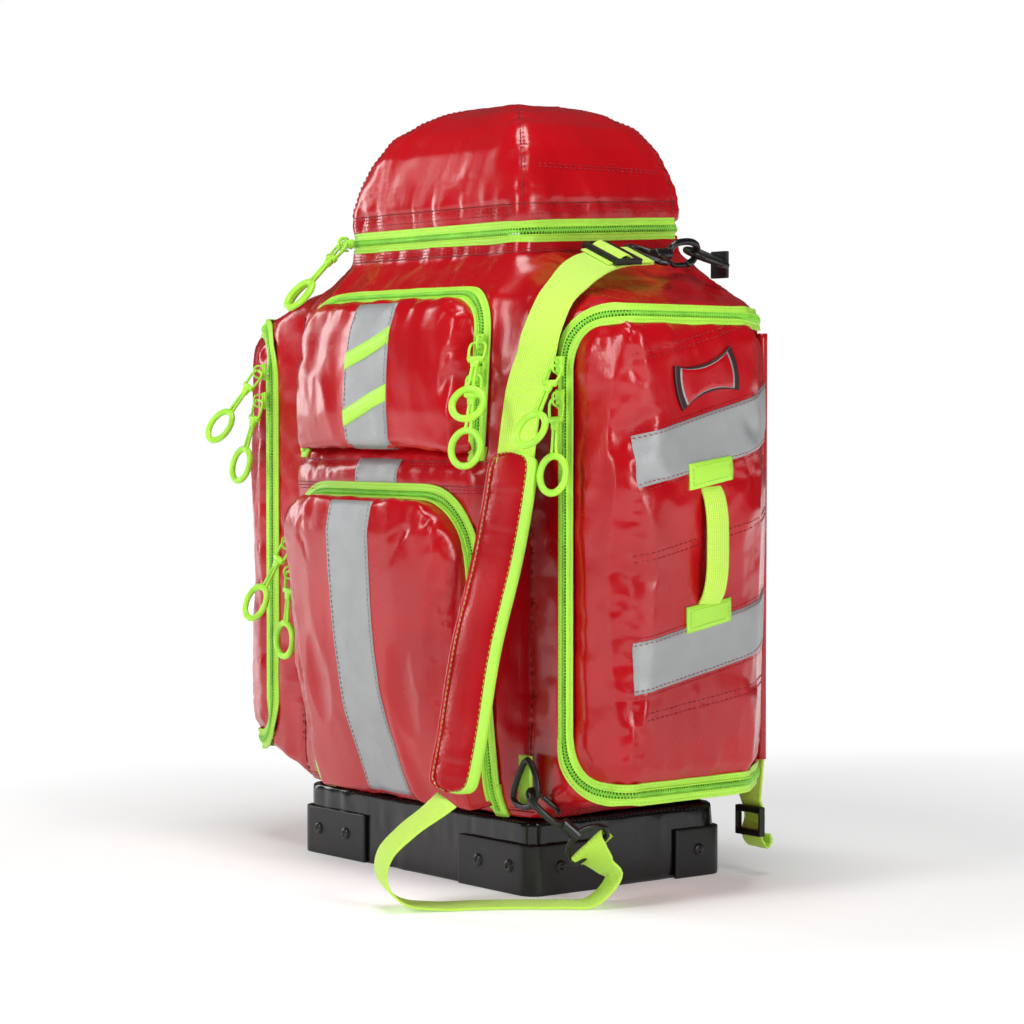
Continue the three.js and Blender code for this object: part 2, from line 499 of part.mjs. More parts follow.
const slingTop = [V(164, -1.5, 500), V(165, -20, 499), V(170, -45, 495), V(178, -68, 488), V(186, -88, 477),
  V(189, -105.5, 463), V(184, -114.5, 440), V(178, -116, 420), V(170, -119, 398), V(167, -122, 372),
  V(167, -127, 349)];
const slingTopWidth = (t) => V(0.93, 0, -0.36).lerp(V(0.98, 0.18, 0), THREE.MathUtils.smoothstep(t, 0.3, 0.6));
place('sling_webbing_upper', webbing(slingTop, slingTopWidth, WEBBING, 2.2, 26), lime);
const slingPad = [V(167, -128, 346), V(166.5, -134, 310), V(163, -142, 264), V(158, -159, 195),
  V(157, -172, 127), V(156, -181, 88)];
place('sling_pad', webbing(slingPad, () => V(1, 0, 0), 50, 8, 14), red);
const slingLow = [V(155.5, -184, 83), V(151, -195, 74), V(143, -213, 60), V(134, -227, 42), V(133, -229, 24),
  V(139, -216, 7), V(151, -190, 1.8), V(164, -163, 1.6), V(178, -134, 1.6), V(190, -118, 8), V(197, -110, 21),
  V(202.5, -101, 33)];
function slingLowWidth(t) {
  const loose = V(1, 0, 0).lerp(V(0.9, -0.44, 0), THREE.MathUtils.smoothstep(t, 0, 0.3));
  return loose.lerp(V(0.47, 0, 0.88), THREE.MathUtils.smoothstep(t, 0.8, 1));
}
place('sling_webbing_lower', webbing(slingLow, slingLowWidth, WEBBING, 2.2, 40), lime);

const glide = joined(box(-23, 23, -13, -8, -2.4, 2.4), box(-23, 23, 8, 13, -2.4, 2.4),
  box(-23, -19.8, -9, 9, -2.4, 2.4), box(19.8, 23, -9, 9, -2.4, 2.4), box(-21, 21, -2, 2, -2.4, 2.4));
const glideX = V(0.93, 0, -0.36).normalize();
const glideY = V(-0.13, 0.98, 0.12).addScaledVector(glideX, 0.164).normalize();
const glideUp = V(0, 0, 0).crossVectors(glideX, glideY);
place('tri_glide', glide, black).applyMatrix4(new THREE.Matrix4().makeBasis(glideX, glideY, glideUp)
  .setPosition(V(167, -32, 497).addScaledVector(glideUp, 5)));

export default pack;
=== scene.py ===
"""Trauma backpack: glossy coated fabric, webbing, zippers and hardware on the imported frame.

Shapes are written in millimetres and scaled to metres where a mesh is made.
"""
import itertools
import math

import bmesh
import bpy
import numpy as np
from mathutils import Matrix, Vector
from mathutils.bvhtree import BVHTree


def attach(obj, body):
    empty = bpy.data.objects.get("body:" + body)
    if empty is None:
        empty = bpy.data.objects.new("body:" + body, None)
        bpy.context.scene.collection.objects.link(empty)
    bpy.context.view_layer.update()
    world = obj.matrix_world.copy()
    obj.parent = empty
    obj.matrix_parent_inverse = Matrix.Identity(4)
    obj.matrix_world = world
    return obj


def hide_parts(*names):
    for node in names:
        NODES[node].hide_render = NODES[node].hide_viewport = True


MM = 0.001
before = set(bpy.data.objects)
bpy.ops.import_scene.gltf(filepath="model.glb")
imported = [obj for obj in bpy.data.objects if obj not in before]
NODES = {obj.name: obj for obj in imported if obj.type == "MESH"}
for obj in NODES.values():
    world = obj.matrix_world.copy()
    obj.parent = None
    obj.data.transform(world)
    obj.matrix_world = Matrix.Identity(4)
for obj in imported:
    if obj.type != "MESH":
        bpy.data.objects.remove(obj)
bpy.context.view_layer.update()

# ---- The body's outline, level by level ----
# z, front centre, belly edge, then x and y of: crease, shoulder, ridge, rear ridge, rear corner; rear
LEVELS = [
    [60, -103, -103, [150, -101], [153, -96], [155, -84], [155, 40], [150, 90], 92],
    [75, -112, -110, [156, -104], [178, -103], [204, -88], [200, 41], [178, 93], 94],
    [88, -116, -113, [156, -104], [203, -106], [252, -88], [246, 41], [200, 95], 96],
    [130, -121, -118, [156, -104], [203, -106], [258, -88], [251, 40], [200, 95], 96],
    [300, -141, -135, [156, -104], [203, -106], [259, -88], [252, 40], [200, 95], 96],
    [328, -143, -135, [156, -104], [203, -106], [259, -88], [252, 40], [200, 95], 96],
    [344, -134, -127, [156, -104], [203, -106], [258, -88], [251, 40], [200, 95], 96],
    [440, -127, -121, [155, -104], [203, -106], [255, -87], [248, 40], [200, 95], 96],
    [455, -124, -118, [152, -104], [196, -105], [245, -86], [240, 41], [199, 95], 95],
    [467, -121, -114, [144, -102], [170, -100], [204, -82], [202, 44], [184, 94], 93],
    [484, -104, -98, [126, -94], [140, -88], [158, -72], [158, 50], [148, 91], 90],
    [500, -88, -86, [113, -84], [119, -76], [121, -60], [121, 52], [115, 86], 88],
    [524, -84, -84, [113, -82], [119, -75], [121, -60], [121, 52], [115, 84], 86],
]
LEVEL_Z = np.array([level[0] for level in LEVELS], float)
HOOD_FRONT, HOOD_REAR, HOOD_RISE = -83.0, 86.0, 9.0
FRONT_HALF = 119.0                                    # from the middle to the front pockets' sides
HANDS = ((-1, "left"), (1, "right"))


def tilt(y, z):
    """Height of a level where the hood's line rises to the rear."""
    return z + HOOD_RISE * np.clip((z - 484) / 16, 0, 1) * (y - HOOD_FRONT) / (HOOD_REAR - HOOD_FRONT)


def half_outline(level):
    """Right half of a level, front centre to rear centre, as x and y."""
    z, centre, edge, *corners, rear = level
    belly = np.interp(z, [467, 500], [121, 98])
    points = [[0, centre], [64, centre + (edge - centre) * 0.25], [belly, edge]]
    return np.array(points + corners + [[90, rear], [0, rear]], float)


HALVES = np.array([half_outline(level) for level in LEVELS])


def outline(z):
    """Right half of the outline at any height."""
    corners = range(HALVES.shape[1])
    return np.array([[np.interp(z, LEVEL_Z, HALVES[:, i, k]) for k in (0, 1)] for i in corners])


def front_y(x, z):
    """The body's front face at a place seen from in front."""
    half = outline(z)[:6]
    return np.interp(abs(x), half[:, 0], half[:, 1])


# ---- Small tools for lines and meshes ----
def unit(vectors):
    """The same directions with a length of one."""
    vectors = np.asarray(vectors, float)
    return vectors / np.maximum(np.linalg.norm(vectors, axis=-1, keepdims=True), 1e-9)


def tangents(line, loop=False):
    """Unit directions along a line."""
    if loop:
        return unit(np.roll(line, -1, 0) - np.roll(line, 1, 0))
    return unit(np.gradient(line, axis=0))


def run_along(line):
    """Distance along a line at each of its points."""
    return np.concatenate([[0], np.cumsum(np.linalg.norm(np.diff(line, axis=0), axis=1))])


def resampled(line, step):
    """The same line with points an even step apart."""
    line = np.asarray(line, float)
    run = run_along(line)
    stops = np.linspace(0, run[-1], max(2, int(round(run[-1] / step)) + 1))
    return np.stack([np.interp(stops, run, line[:, k]) for k in range(line.shape[1])], 1)


def softened(values, reach):
    """Moving average over `reach` neighbours each way, with both ends kept."""
    before = 2 * values[:1] - values[reach:0:-1]
    after = 2 * values[-1:] - values[-2:-reach - 2:-1]
    padded = np.concatenate([before, values, after])
    kernel = np.ones(2 * reach + 1) / (2 * reach + 1)
    return np.stack([np.convolve(padded[:, k], kernel, "valid") for k in range(values.shape[1])], 1)


def spline(points, count, loop=False):
    """Centripetal Catmull-Rom curve through points."""
    points = np.asarray(points, float)
    if loop:
        ring = np.concatenate([points[-1:], points, points[:2]])
    else:
        ring = np.concatenate([2 * points[:1] - points[1:2], points, 2 * points[-1:] - points[-2:-1]])
    spans = len(ring) - 3
    out = []
    for t in np.linspace(0, spans, count, endpoint=not loop):
        i = min(int(t), spans - 1)
        near = ring[i:i + 4]
        gaps = np.linalg.norm(np.diff(near, axis=0), axis=1)
        knots = np.concatenate([[0], np.cumsum(np.maximum(gaps, 1e-6) ** 0.5)])
        u = knots[1] + (t - i) * (knots[2] - knots[1])
        mix = lambda a, b, ka, kb: (a * (kb - u) + b * (u - ka)) / (kb - ka)
        a1, a2, a3 = (mix(near[k], near[k + 1], knots[k], knots[k + 1]) for k in range(3))
        b1, b2 = mix(a1, a2, knots[0], knots[2]), mix(a2, a3, knots[1], knots[3])
        out.append(mix(b1, b2, knots[1], knots[2]))
    return np.array(out)


class Heap:
    """Collects many small bodies for one mesh."""

    def __init__(self):
        self.points, self.faces, self.count = [], [], 0

    def add(self, points, faces):
        points = np.asarray(points, float)
        self.points.append(points)
        self.faces += [[i + self.count for i in face] for face in faces]
        self.count += len(points)
        return self

    def build(self, name, material, body, smooth=True):
        return build(name, np.concatenate(self.points), self.faces, material, body, smooth)


def build(name, points, faces, material, body, smooth=True):
    """A new mesh object, which rides a body if one is named."""
    mesh = bpy.data.meshes.new(name)
    mesh.from_pydata((np.asarray(points) * MM).tolist(), [], faces)
    mesh.update()
    if smooth:
        mesh.shade_smooth()
    mesh.materials.append(material)
    obj = bpy.data.objects.new(name, mesh)
    bpy.context.scene.collection.objects.link(obj)
    if body:
        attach(obj, body)
    return obj


def sweep(line, side, normal, profile, loop=False):
    """A profile (points across and out) carried along a line, closed at its ends unless it loops."""
    line, side, normal, profile = (np.asarray(a, float) for a in (line, side, normal, profile))
    if profile.ndim == 2:
        profile = np.repeat(profile[None], len(line), 0)
    points = line[:, None] + side[:, None] * profile[..., :1] + normal[:, None] * profile[..., 1:]
    rows, cols = profile.shape[:2]
    faces = []
    for i in range(rows if loop else rows - 1):
        j = (i + 1) % rows
        for k in range(cols):
            m = (k + 1) % cols
            faces.append([i * cols + k, j * cols + k, j * cols + m, i * cols + m])
    if not loop:
        faces += [list(range(cols)), list(range((rows - 1) * cols, rows * cols))[::-1]]
    return points.reshape(-1, 3), faces


def rings(count, rows):
    """Faces of a closed body made of rows of points, each row a ring."""
    faces = [list(range(count))[::-1], [(rows - 1) * count + k for k in range(count)]]
    for start in range(0, (rows - 1) * count, count):
        for k in range(count):
            m = (k + 1) % count
            faces.append([start + k, start + m, start + count + m, start + count + k])
    return faces


def round_profile(width, thick, corner=4):
    """A flat strip's section with round edges."""
    r = thick / 2
    turns = np.linspace(-math.pi / 2, math.pi / 2, corner + 2)
    right = [[width / 2 - r + r * math.cos(t), r * math.sin(t)] for t in turns]
    return np.array(right + [[-x, -y] for x, y in right])


def circle(radius, sides=10, stretch=1.0):
    """A round section, longer outwards if stretched."""
    turns = np.linspace(0, 2 * math.pi, sides, endpoint=False)
    return np.stack([radius * np.cos(turns), radius * stretch * np.sin(turns)], 1)


def framed(line, hint, loop=False):
    """Side and normal along a line from a rough side direction."""
    along = tangents(line, loop)
    hint = np.broadcast_to(np.asarray(hint, float), line.shape)
    side = unit(hint - along * np.sum(hint * along, 1, keepdims=True))
    return side, unit(np.cross(along, side))


def tube(line, radius, hint=(0.13, 0.2, 0.97), loop=False, sides=10, stretch=1.0):
    """A round bar along a line."""
    line = np.asarray(line, float)
    side, normal = framed(line, hint, loop)
    return sweep(line, side, normal, circle(radius, sides, stretch), loop)


CELL_PRIMES = np.array([73856093, 19349663, 83492791])
SEED_PRIME = 2654435761
MIX_PRIMES = ((15, 2246822519), (13, 3266489917))
WORD = 0xFFFFFFFF


def lattice_noise(p, seed=0):
    """Smooth noise from -1 to 1 for an array of places, one cell to a unit."""
    cell = np.floor(p).astype(np.int64)
    f = p - cell
    f = f * f * (3 - 2 * f)
    total = np.zeros(len(p))
    for corner in itertools.product((0, 1), repeat=3):
        h = np.bitwise_xor.reduce((cell + corner) * CELL_PRIMES, axis=1)
        h = (h ^ (seed * SEED_PRIME)) & WORD
        for shift, prime in MIX_PRIMES:
            h = ((h ^ (h >> shift)) * prime) & WORD
        value = ((h ^ (h >> 16)) & 0xFFFF) / 32767.5 - 1
        total += value * np.prod(np.abs(1 - np.array(corner) - f), axis=1)
    return total


# ---- Materials ----
class Nodes:
    """A material's node tree with short ways to add to it."""

    def __init__(self, name, color, roughness, **sockets):
        self.material = bpy.data.materials.new(name)
        self.material.use_nodes = True
        self.material.diffuse_color = (*color, 1)
        self.tree = self.material.node_tree
        self.shader = self.tree.nodes["Principled BSDF"]
        self.shader.inputs["Base Color"].default_value = (*color, 1)
        self.shader.inputs["Roughness"].default_value = roughness
        for socket, value in sockets.items():
            self.shader.inputs[socket.replace("_", " ")].default_value = value
        self.place = self.tree.nodes.new("ShaderNodeTexCoord").outputs["Object"]
        self.color = color
        self.height = None

    def node(self, kind, **settings):
        made = self.tree.nodes.new("ShaderNode" + kind)
        for key, value in settings.items():
            if key in made.inputs:
                made.inputs[key].default_value = value
            else:
                setattr(made, key, value)
        return made

    def link(self, out, into):
        self.tree.links.new(out, into)

    def math(self, operation, a, b=None):
        made = self.node("Math", operation=operation)
        for socket, value in zip(made.inputs, (a, b)):
            if isinstance(value, (int, float)):
                socket.default_value = value
            elif value is not None:
                self.link(value, socket)
        return made.outputs[0]

    def noise(self, scale, detail=2.0, stretch=None):
        made = self.node("TexNoise", Scale=scale, Detail=detail)
        place = self.place
        if stretch:
            mapping = self.node("Mapping")
            mapping.inputs["Scale"].default_value = stretch
            self.link(place, mapping.inputs["Vector"])
            place = mapping.outputs[0]
        self.link(place, made.inputs["Vector"])
        return made.outputs["Fac"]

    def waves(self, pitch, axis, place=None):
        """A sine across one axis with a period in metres, from 0 to 1."""
        split = self.node("SeparateXYZ")
        self.link(place or self.place, split.inputs[0])
        turn = self.math("MULTIPLY", split.outputs[axis], 2 * math.pi / pitch)
        return self.math("MULTIPLY_ADD", self.math("SINE", turn), 0.5)

    def weave(self, pitch, diagonal=False, place=None):
        """Threads crossing over and under, from the waves on all three axes."""
        place = place or self.place
        if diagonal:
            turned = self.node("Mapping")
            turned.inputs["Rotation"].default_value = (0.78, 0.62, 0.78)
            self.link(place, turned.inputs["Vector"])
            place = turned.outputs[0]
        x, y, z = (self.waves(pitch, axis, place) for axis in (0, 1, 2))
        over = self.math("MULTIPLY", x, z)
        under = self.math("MULTIPLY", y, self.math("ADD", x, z))
        return self.math("ADD", over, under)

    def bump(self, height, distance, strength=1.0):
        made = self.node("Bump", Strength=strength, Distance=distance)
        self.link(height, made.inputs["Height"])
        if self.height is not None:
            self.link(self.height, made.inputs["Normal"])
        self.height = made.outputs["Normal"]
        self.link(self.height, self.shader.inputs["Normal"])
        return self

    def vary(self, fac, low, high, socket):
        """Spreads a value between two numbers on one shader socket."""
        made = self.node("MapRange")
        made.inputs["To Min"].default_value = low
        made.inputs["To Max"].default_value = high
        self.link(fac, made.inputs["Value"])
        self.link(made.outputs[0], self.shader.inputs[socket])
        return self

    def tint(self, fac, first, second, low=0.35, high=0.65):
        """Colours the surface from one shade to another with a value."""
        ramp = self.node("ValToRGB")
        ramp.color_ramp.elements[0].position = low
        ramp.color_ramp.elements[0].color = (*first, 1)
        ramp.color_ramp.elements[1].position = high
        ramp.color_ramp.elements[1].color = (*second, 1)
        self.link(fac, ramp.inputs[0])
        self.link(ramp.outputs[0], self.shader.inputs["Base Color"])
        return self


def scaled(color, factor):
    """A lighter or darker shade of a colour."""
    return tuple(c * factor for c in color)


RED = (0.45, 0.0015, 0.006)
LIME = (0.6, 0.94, 0.09)
GREY = (0.36, 0.37, 0.375)


def coated_fabric(name, color, roughness, weave_depth):
    """Glossy polymer coat over a woven cloth, which shows through faintly."""
    m = Nodes(name, color, roughness, Coat_Weight=0.15, Coat_Roughness=0.04, Specular_IOR_Level=0.42)
    m.tint(m.noise(9, 3), scaled(color, 0.86), scaled(color, 1.08))
    m.vary(m.noise(34, 4), roughness - 0.06, roughness + 0.09, "Roughness")
    m.bump(m.noise(30, 3, (1, 1, 0.4)), 0.002, 0.35)
    m.bump(m.noise(190, 2), 0.0002, 0.5)
    m.bump(m.weave(0.0011), weave_depth, 0.35)
    return m.material


def webbing_weave(name, color):
    """Ribbed polyester webbing: rows run along it, small knuckles across, with painted shade in the hollows
    between threads.
    """
    m = Nodes(name, color, 0.62, Sheen_Weight=0.25, Sheen_Roughness=0.4)
    run = m.node("UVMap", uv_map="run").outputs[0]
    rows = m.waves(0.0021, 0, run)
    knuckles = m.waves(0.0013, 1, run)
    threads = m.math("ADD", rows, m.math("MULTIPLY", knuckles, 0.6))
    # the hollows between threads are painted darker: painted shade
    m.tint(threads, scaled(color, 0.74), scaled(color, 1.04), 0.05, 0.8)
    m.bump(threads, 0.0004, 0.8)
    m.bump(m.noise(60, 2), 0.0006, 0.3)
    return m.material


def moulded(name, color, roughness, grain, depth):
    """Plastic, rubber or metal with a fine grain."""
    m = Nodes(name, color, roughness)
    m.tint(m.noise(60, 3), scaled(color, 0.85), scaled(color, 1.1))
    m.vary(m.noise(120, 3), roughness - 0.07, roughness + 0.08, "Roughness")
    m.bump(m.noise(grain, 2), depth, 0.5)
    return m.material


def thread(name, color):
    """Sewing thread with a twist."""
    m = Nodes(name, color, 0.55)
    m.bump(m.waves(0.0008, 2), 0.0002, 0.6)
    m.tint(m.noise(300, 2), scaled(color, 0.8), scaled(color, 1.1))
    return m.material


def spacer_mesh(name, color):
    """Padded mesh cloth with small round holes, painted darker inside the holes as painted shade."""
    m = Nodes(name, color, 0.85, Sheen_Weight=0.3)
    holes = m.node("TexVoronoi", Scale=330.0)
    m.link(m.place, holes.inputs["Vector"])
    # darker towards each hole's centre: painted shade in the holes
    m.tint(holes.outputs["Distance"], scaled(color, 0.3), scaled(color, 1.6), 0.15, 0.6)
    m.bump(holes.outputs["Distance"], 0.0012, 0.9)
    return m.material


def reflective_tape(name, color):
    """Silvery tape over a diagonal weave."""
    m = Nodes(name, color, 0.42, Metallic=0.25)
    m.tint(m.noise(55, 3), scaled(color, 0.95), scaled(color, 1.03))
    m.vary(m.noise(40, 2), 0.4, 0.5, "Roughness")
    m.bump(m.weave(0.0012, True), 0.00012, 0.6)
    m.bump(m.noise(22, 3), 0.001, 0.25)
    return m.material


red = coated_fabric("red_coated_fabric", RED, 0.24, 0.00004)
# half-bright red for the thin line laid along each seam's groove: painted shade
red_seam_shade = thread("red_seam_painted_shade", scaled(RED, 0.5))
red_stitch = thread("red_stitch_thread", (0.34, 0.008, 0.016))
lime_web = webbing_weave("lime_webbing", LIME)
lime_tape = coated_fabric("lime_zipper_tape", (0.44, 0.84, 0.07), 0.5, 0.0002)
# the coil teeth are a darker lime than the tape: partly their own tone, partly painted shade of the groove
# between the tapes
lime_teeth_painted_shade = moulded("lime_zipper_teeth_painted_shade", (0.24, 0.68, 0.04), 0.35, 400, 0.0001)
lime_plastic = moulded("lime_moulded_rubber", (0.40, 0.84, 0.05), 0.34, 260, 0.00015)
lime_stitch = thread("lime_stitch_thread", scaled(LIME, 0.7))
grey_tape = reflective_tape("reflective_tape", GREY)
grey_stitch = thread("grey_stitch_thread", scaled(GREY, 0.45))
black_coated = coated_fabric("black_coated_fabric", (0.003, 0.003, 0.0035), 0.16, 0.00004)
black_plastic = moulded("black_moulded_plastic", (0.004, 0.004, 0.0045), 0.42, 700, 0.00012)
black_metal = moulded("black_oxide_steel", (0.007, 0.007, 0.0075), 0.3, 500, 0.0001)
black_binding = coated_fabric("black_binding_tape", (0.018, 0.018, 0.019), 0.7, 0.0002)
black_mesh = spacer_mesh("black_spacer_mesh", (0.02, 0.02, 0.021))
black_thread = thread("black_stitch_thread", (0.02, 0.02, 0.02))
dark_patch = moulded("patch_rubber", (0.03, 0.004, 0.006), 0.4, 300, 0.0002)


# ---- Surfaces that other pieces lie on ----
def mesh_arrays(obj):
    """Places in millimetres and normals of a finished mesh."""
    mesh = obj.data
    points = np.empty(len(mesh.vertices) * 3)
    mesh.vertices.foreach_get("co", points)
    normals = np.empty(len(mesh.vertices) * 3)
    mesh.vertex_normals.foreach_get("vector", normals)
    return points.reshape(-1, 3) / MM, normals.reshape(-1, 3)


class Surface:
    """Finished meshes joined in one tree for casting."""

    def __init__(self, *objects):
        points, faces = [], []
        for obj in objects:
            start = len(points)
            points += [v.co / MM for v in obj.data.vertices]
            faces += [[i + start for i in polygon.vertices] for polygon in obj.data.polygons]
        self.tree = BVHTree.FromPolygons(points, faces)

    def cast(self, origins, directions, reach=600.0):
        """First hit and its normal for each ray, or nan where there is none."""
        hits = np.full((len(origins), 3), np.nan)
        normals = np.full((len(origins), 3), np.nan)
        for i, (origin, direction) in enumerate(zip(origins, directions)):
            place, normal, _, _ = self.tree.ray_cast(Vector(origin), Vector(direction), reach)
            if place is not None:
                hits[i] = place
                normals[i] = normal
        return hits, normals


def envelope_tree():
    """The body's whole outline as one tree, for directions."""
    points = []
    for level, half in zip(LEVELS, HALVES):
        ring = np.concatenate([half, half[-2:0:-1] * [-1, 1]])
        points += [[x, y, tilt(y, level[0])] for x, y in ring]
    return BVHTree.FromPolygons(points, rings(len(ring), len(LEVELS))[2:])


ENVELOPE = envelope_tree()


def outward(line, reach=5):
    """Averaged outward direction of the body beside each point of a line."""
    found = np.array([ENVELOPE.find_nearest(Vector(p))[1] for p in line])
    middle = np.array([0, -5, 0])
    away = (line - middle) * [1, 1, 0]
    found *= np.sign(np.sum(found * away, 1, keepdims=True))
    return unit(softened(found, reach))


# ---- Zipper lines ----
PROUD = 1.5                                           # a zipper's line over the body


def arc(centre, radius, start, end, count=9):
    """Places on a flat arc between two angles in degrees."""
    turns = np.radians(np.linspace(start, end, count))
    return np.stack([centre[0] + radius * np.cos(turns), centre[1] + radius * np.sin(turns)], 1).tolist()


def front_arch(low, high, radius):
    """An arch in X and Z over a front pocket, laid on the body."""
    half = FRONT_HALF
    flat = [[-half, low]] + arc([-half + radius, high - radius], radius, 180, 90)
    flat += arc([half - radius, high - radius], radius, 90, 0) + [[half, low]]
    flat = resampled(flat, 3)
    line = np.array([[x, front_y(x, z) - PROUD, z] for x, z in flat])
    return resampled(softened(line, 2), 2)


def hood_ring(z, grow=PROUD, rear=78):
    """A line round the hood's seat, from the right rear corner over the front to the left."""
    x0 = np.interp(rear, [52, 86], [121, 115])
    half = np.array([[x0, rear], [121, 52], [121, -60], [119, -75.5], [113, -82], [98, -84.3], [0, -84.3]])
    half = resampled(half, 4)
    sign = np.array([0.7, 0.7])
    half = half + grow * unit(np.stack([-np.gradient(half[:, 1]), np.gradient(half[:, 0])], 1)) * sign
    ring = np.concatenate([half, half[-2::-1] * [-1, 1]])
    line = np.array([[x, y, tilt(y, z)] for x, y in ring])
    return resampled(softened(line, 2), 2)


def side_arch(side, low=88.2, high=450.8, inner=202.2, radius=34):
    """The side pocket's zipper: along the top from the rear, down the front, back along the bottom."""

    def level(z):
        ring = outline(z)[4:8]
        x, y = ring[2:4, 0], ring[2:4, 1]
        rear = [np.interp(88, y, x), 88]
        front = [inner + radius, front_y(inner + radius, z)]
        return [[p[0], p[1], z] for p in (rear, ring[2], ring[1], front)]

    flat = arc([inner + radius, high - radius], radius, 90, 180)[1:]
    flat += arc([inner + radius, low + radius], radius, 180, 270)[:-1]
    turn = [[x, front_y(x, z), z] for x, z in flat]
    line = resampled(level(high) + turn + level(low)[::-1], 3)
    line = line + outward(line, 2) * PROUD
    line = resampled(softened(line, 3), 2)
    return line * [side, 1, 1]


LOWER_LINE = front_arch(64.6, 312, 48)
UPPER_LINE = front_arch(344.6, 471, 34)
HOOD_LINE = hood_ring(519.2)
RIGHT_LINE = side_arch(1)
LEFT_LINE = side_arch(-1)


# ---- Soft shells: remeshed from their solids, then creased ----
SETTLED = 20                                          # frames the cloth runs for
HELD, FREE = 7, 23                                    # from a zipper: still up to here, free from here


def nearest(points, line):
    """Distance to a line and how far along it, for each point."""
    run = run_along(line)
    distance, along = np.empty(len(points)), np.empty(len(points))
    for part in np.array_split(np.arange(len(points)), max(1, len(points) // 3000)):
        gaps = ((points[part][:, None] - line[None]) ** 2).sum(-1)
        closest = gaps.argmin(1)
        distance[part] = np.sqrt(gaps[np.arange(len(part)), closest])
        along[part] = run[closest]
    return distance, along


RUFFLE = 2.4                                          # how far a fold's noise dips below its crest


def fold(places, seed):
    """Sharp crests with hollows between them."""
    return 1 - RUFFLE * np.abs(lattice_noise(places, seed))


def gathers(distance, along, pitch, spread, layer, seed):
    """Noise that runs across a line, as cloth gathers beside one."""
    return lattice_noise(np.stack([along / pitch, distance / spread, np.full_like(along, layer)], 1), seed)


def creased(points, normals, seed, size, pulls, channels):
    """Moves a coated cloth's surface: broad waves, sharp folds, gathers beside zippers, dips at seams."""
    bend = np.stack([lattice_noise(points / 48, seed + k) for k in (1, 2, 3)], 1)
    warped = points + 20 * bend
    broad = lattice_noise(points / 75, seed + 4)
    folds = fold(warped / [34, 34, 90], seed + 5)
    small = fold(warped / [17, 17, 30], seed + 6)
    where = np.clip(lattice_noise(points / 60, seed + 7) * 1.2 + 0.6, 0, 1)
    move = size * (1.5 * broad + 1.6 * folds * where + 0.3 * small * where)
    for line, strength in pulls:
        distance, along = nearest(points, line[::2])
        gather = gathers(distance, along, 11, 45, 0, seed + 8)
        move *= 1 - 0.92 * np.exp(-((distance / 11) ** 2))
        move += strength * gather * np.exp(-(((distance - 19) / 13) ** 2))
    for line, depth in channels:
        distance, along = nearest(points, line[::2])
        gather = gathers(distance, along, 9, 40, 1, seed + 9)
        move += 0.7 * depth * gather * np.exp(-((distance / 16) ** 2))
        move -= depth * np.exp(-((distance / 3.6) ** 2))
    return points + normals * move[:, None]


def applied(obj):
    """Bakes an object's modifiers into its mesh."""
    graph = bpy.context.evaluated_depsgraph_get()
    mesh = bpy.data.meshes.new_from_object(obj.evaluated_get(graph))
    obj.modifiers.clear()
    obj.data = mesh
    return obj


def add(obj, kind, **settings):
    """A new modifier with its settings."""
    modifier = obj.modifiers.new(kind.lower(), kind)
    for key, value in settings.items():
        setattr(modifier, key, value)
    return modifier


def reshape(obj, points):
    """Moves a mesh's vertices to places in millimetres."""
    obj.data.vertices.foreach_set("co", (points * MM).ravel())
    obj.data.update()


def dressed(obj, material):
    """Gives a mesh one material."""
    obj.data.materials.clear()
    obj.data.materials.append(material)


def remeshed(name, node, voxel, relax):
    """A copy of a CAD solid with small even faces and rounded edges."""
    obj = bpy.data.objects.new(name, NODES[node].data.copy())
    bpy.context.scene.collection.objects.link(obj)
    add(obj, "REMESH", mode="VOXEL", voxel_size=voxel * MM)
    add(obj, "SMOOTH", factor=0.5, iterations=relax)
    return applied(obj)


def as_cloth(obj, growth):
    """Sets a closed cover up as slightly oversized cloth under pressure."""
    cloth = add(obj, "CLOTH")
    settings = cloth.settings
    settings.quality = 5
    settings.mass = 0.25
    settings.tension_stiffness = 12
    settings.compression_stiffness = 12
    settings.shear_stiffness = 4
    settings.bending_stiffness = 0.35
    settings.use_pressure = True
    settings.uniform_pressure_force = 4
    settings.shrink_min = -growth
    settings.effector_weights.gravity = 0
    cloth.point_cache.frame_start = 1
    cloth.point_cache.frame_end = SETTLED


def settle(covers):
    """Runs the cloth for all covers together and keeps each result, eased in away from its zipper."""
    rest = {obj: mesh_arrays(obj)[0] for obj, *_ in covers}
    for obj, _, growth, _ in covers:
        as_cloth(obj, growth)
    for number in range(1, SETTLED + 1):
        bpy.context.scene.frame_set(number)
    graph = bpy.context.evaluated_depsgraph_get()
    for obj, cap, _, held in covers:
        mesh = bpy.data.meshes.new_from_object(obj.evaluated_get(graph))
        moved_to = np.empty(len(mesh.vertices) * 3)
        mesh.vertices.foreach_get("co", moved_to)
        obj.modifiers.clear()
        move = moved_to.reshape(-1, 3) / MM - rest[obj]
        size = np.linalg.norm(move, axis=1, keepdims=True)
        move *= np.minimum(1, cap / np.maximum(size, 1e-6))
        distance, _ = nearest(rest[obj], held[::2])
        ease = np.clip((distance - HELD) / (FREE - HELD), 0, 1)
        reshape(obj, rest[obj] + move * (ease * ease * (3 - 2 * ease))[:, None])
    bpy.context.scene.frame_set(1)


def tailored(obj, node, body, material, seed, size, pulls=(), channels=()):
    """Creases a remeshed cover, gives it its material and body, and hides its CAD solid."""
    reshape(obj, creased(*mesh_arrays(obj), seed, size, pulls, channels))
    obj.data.shade_smooth()
    dressed(obj, material)
    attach(obj, body)
    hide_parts(node)
    return obj


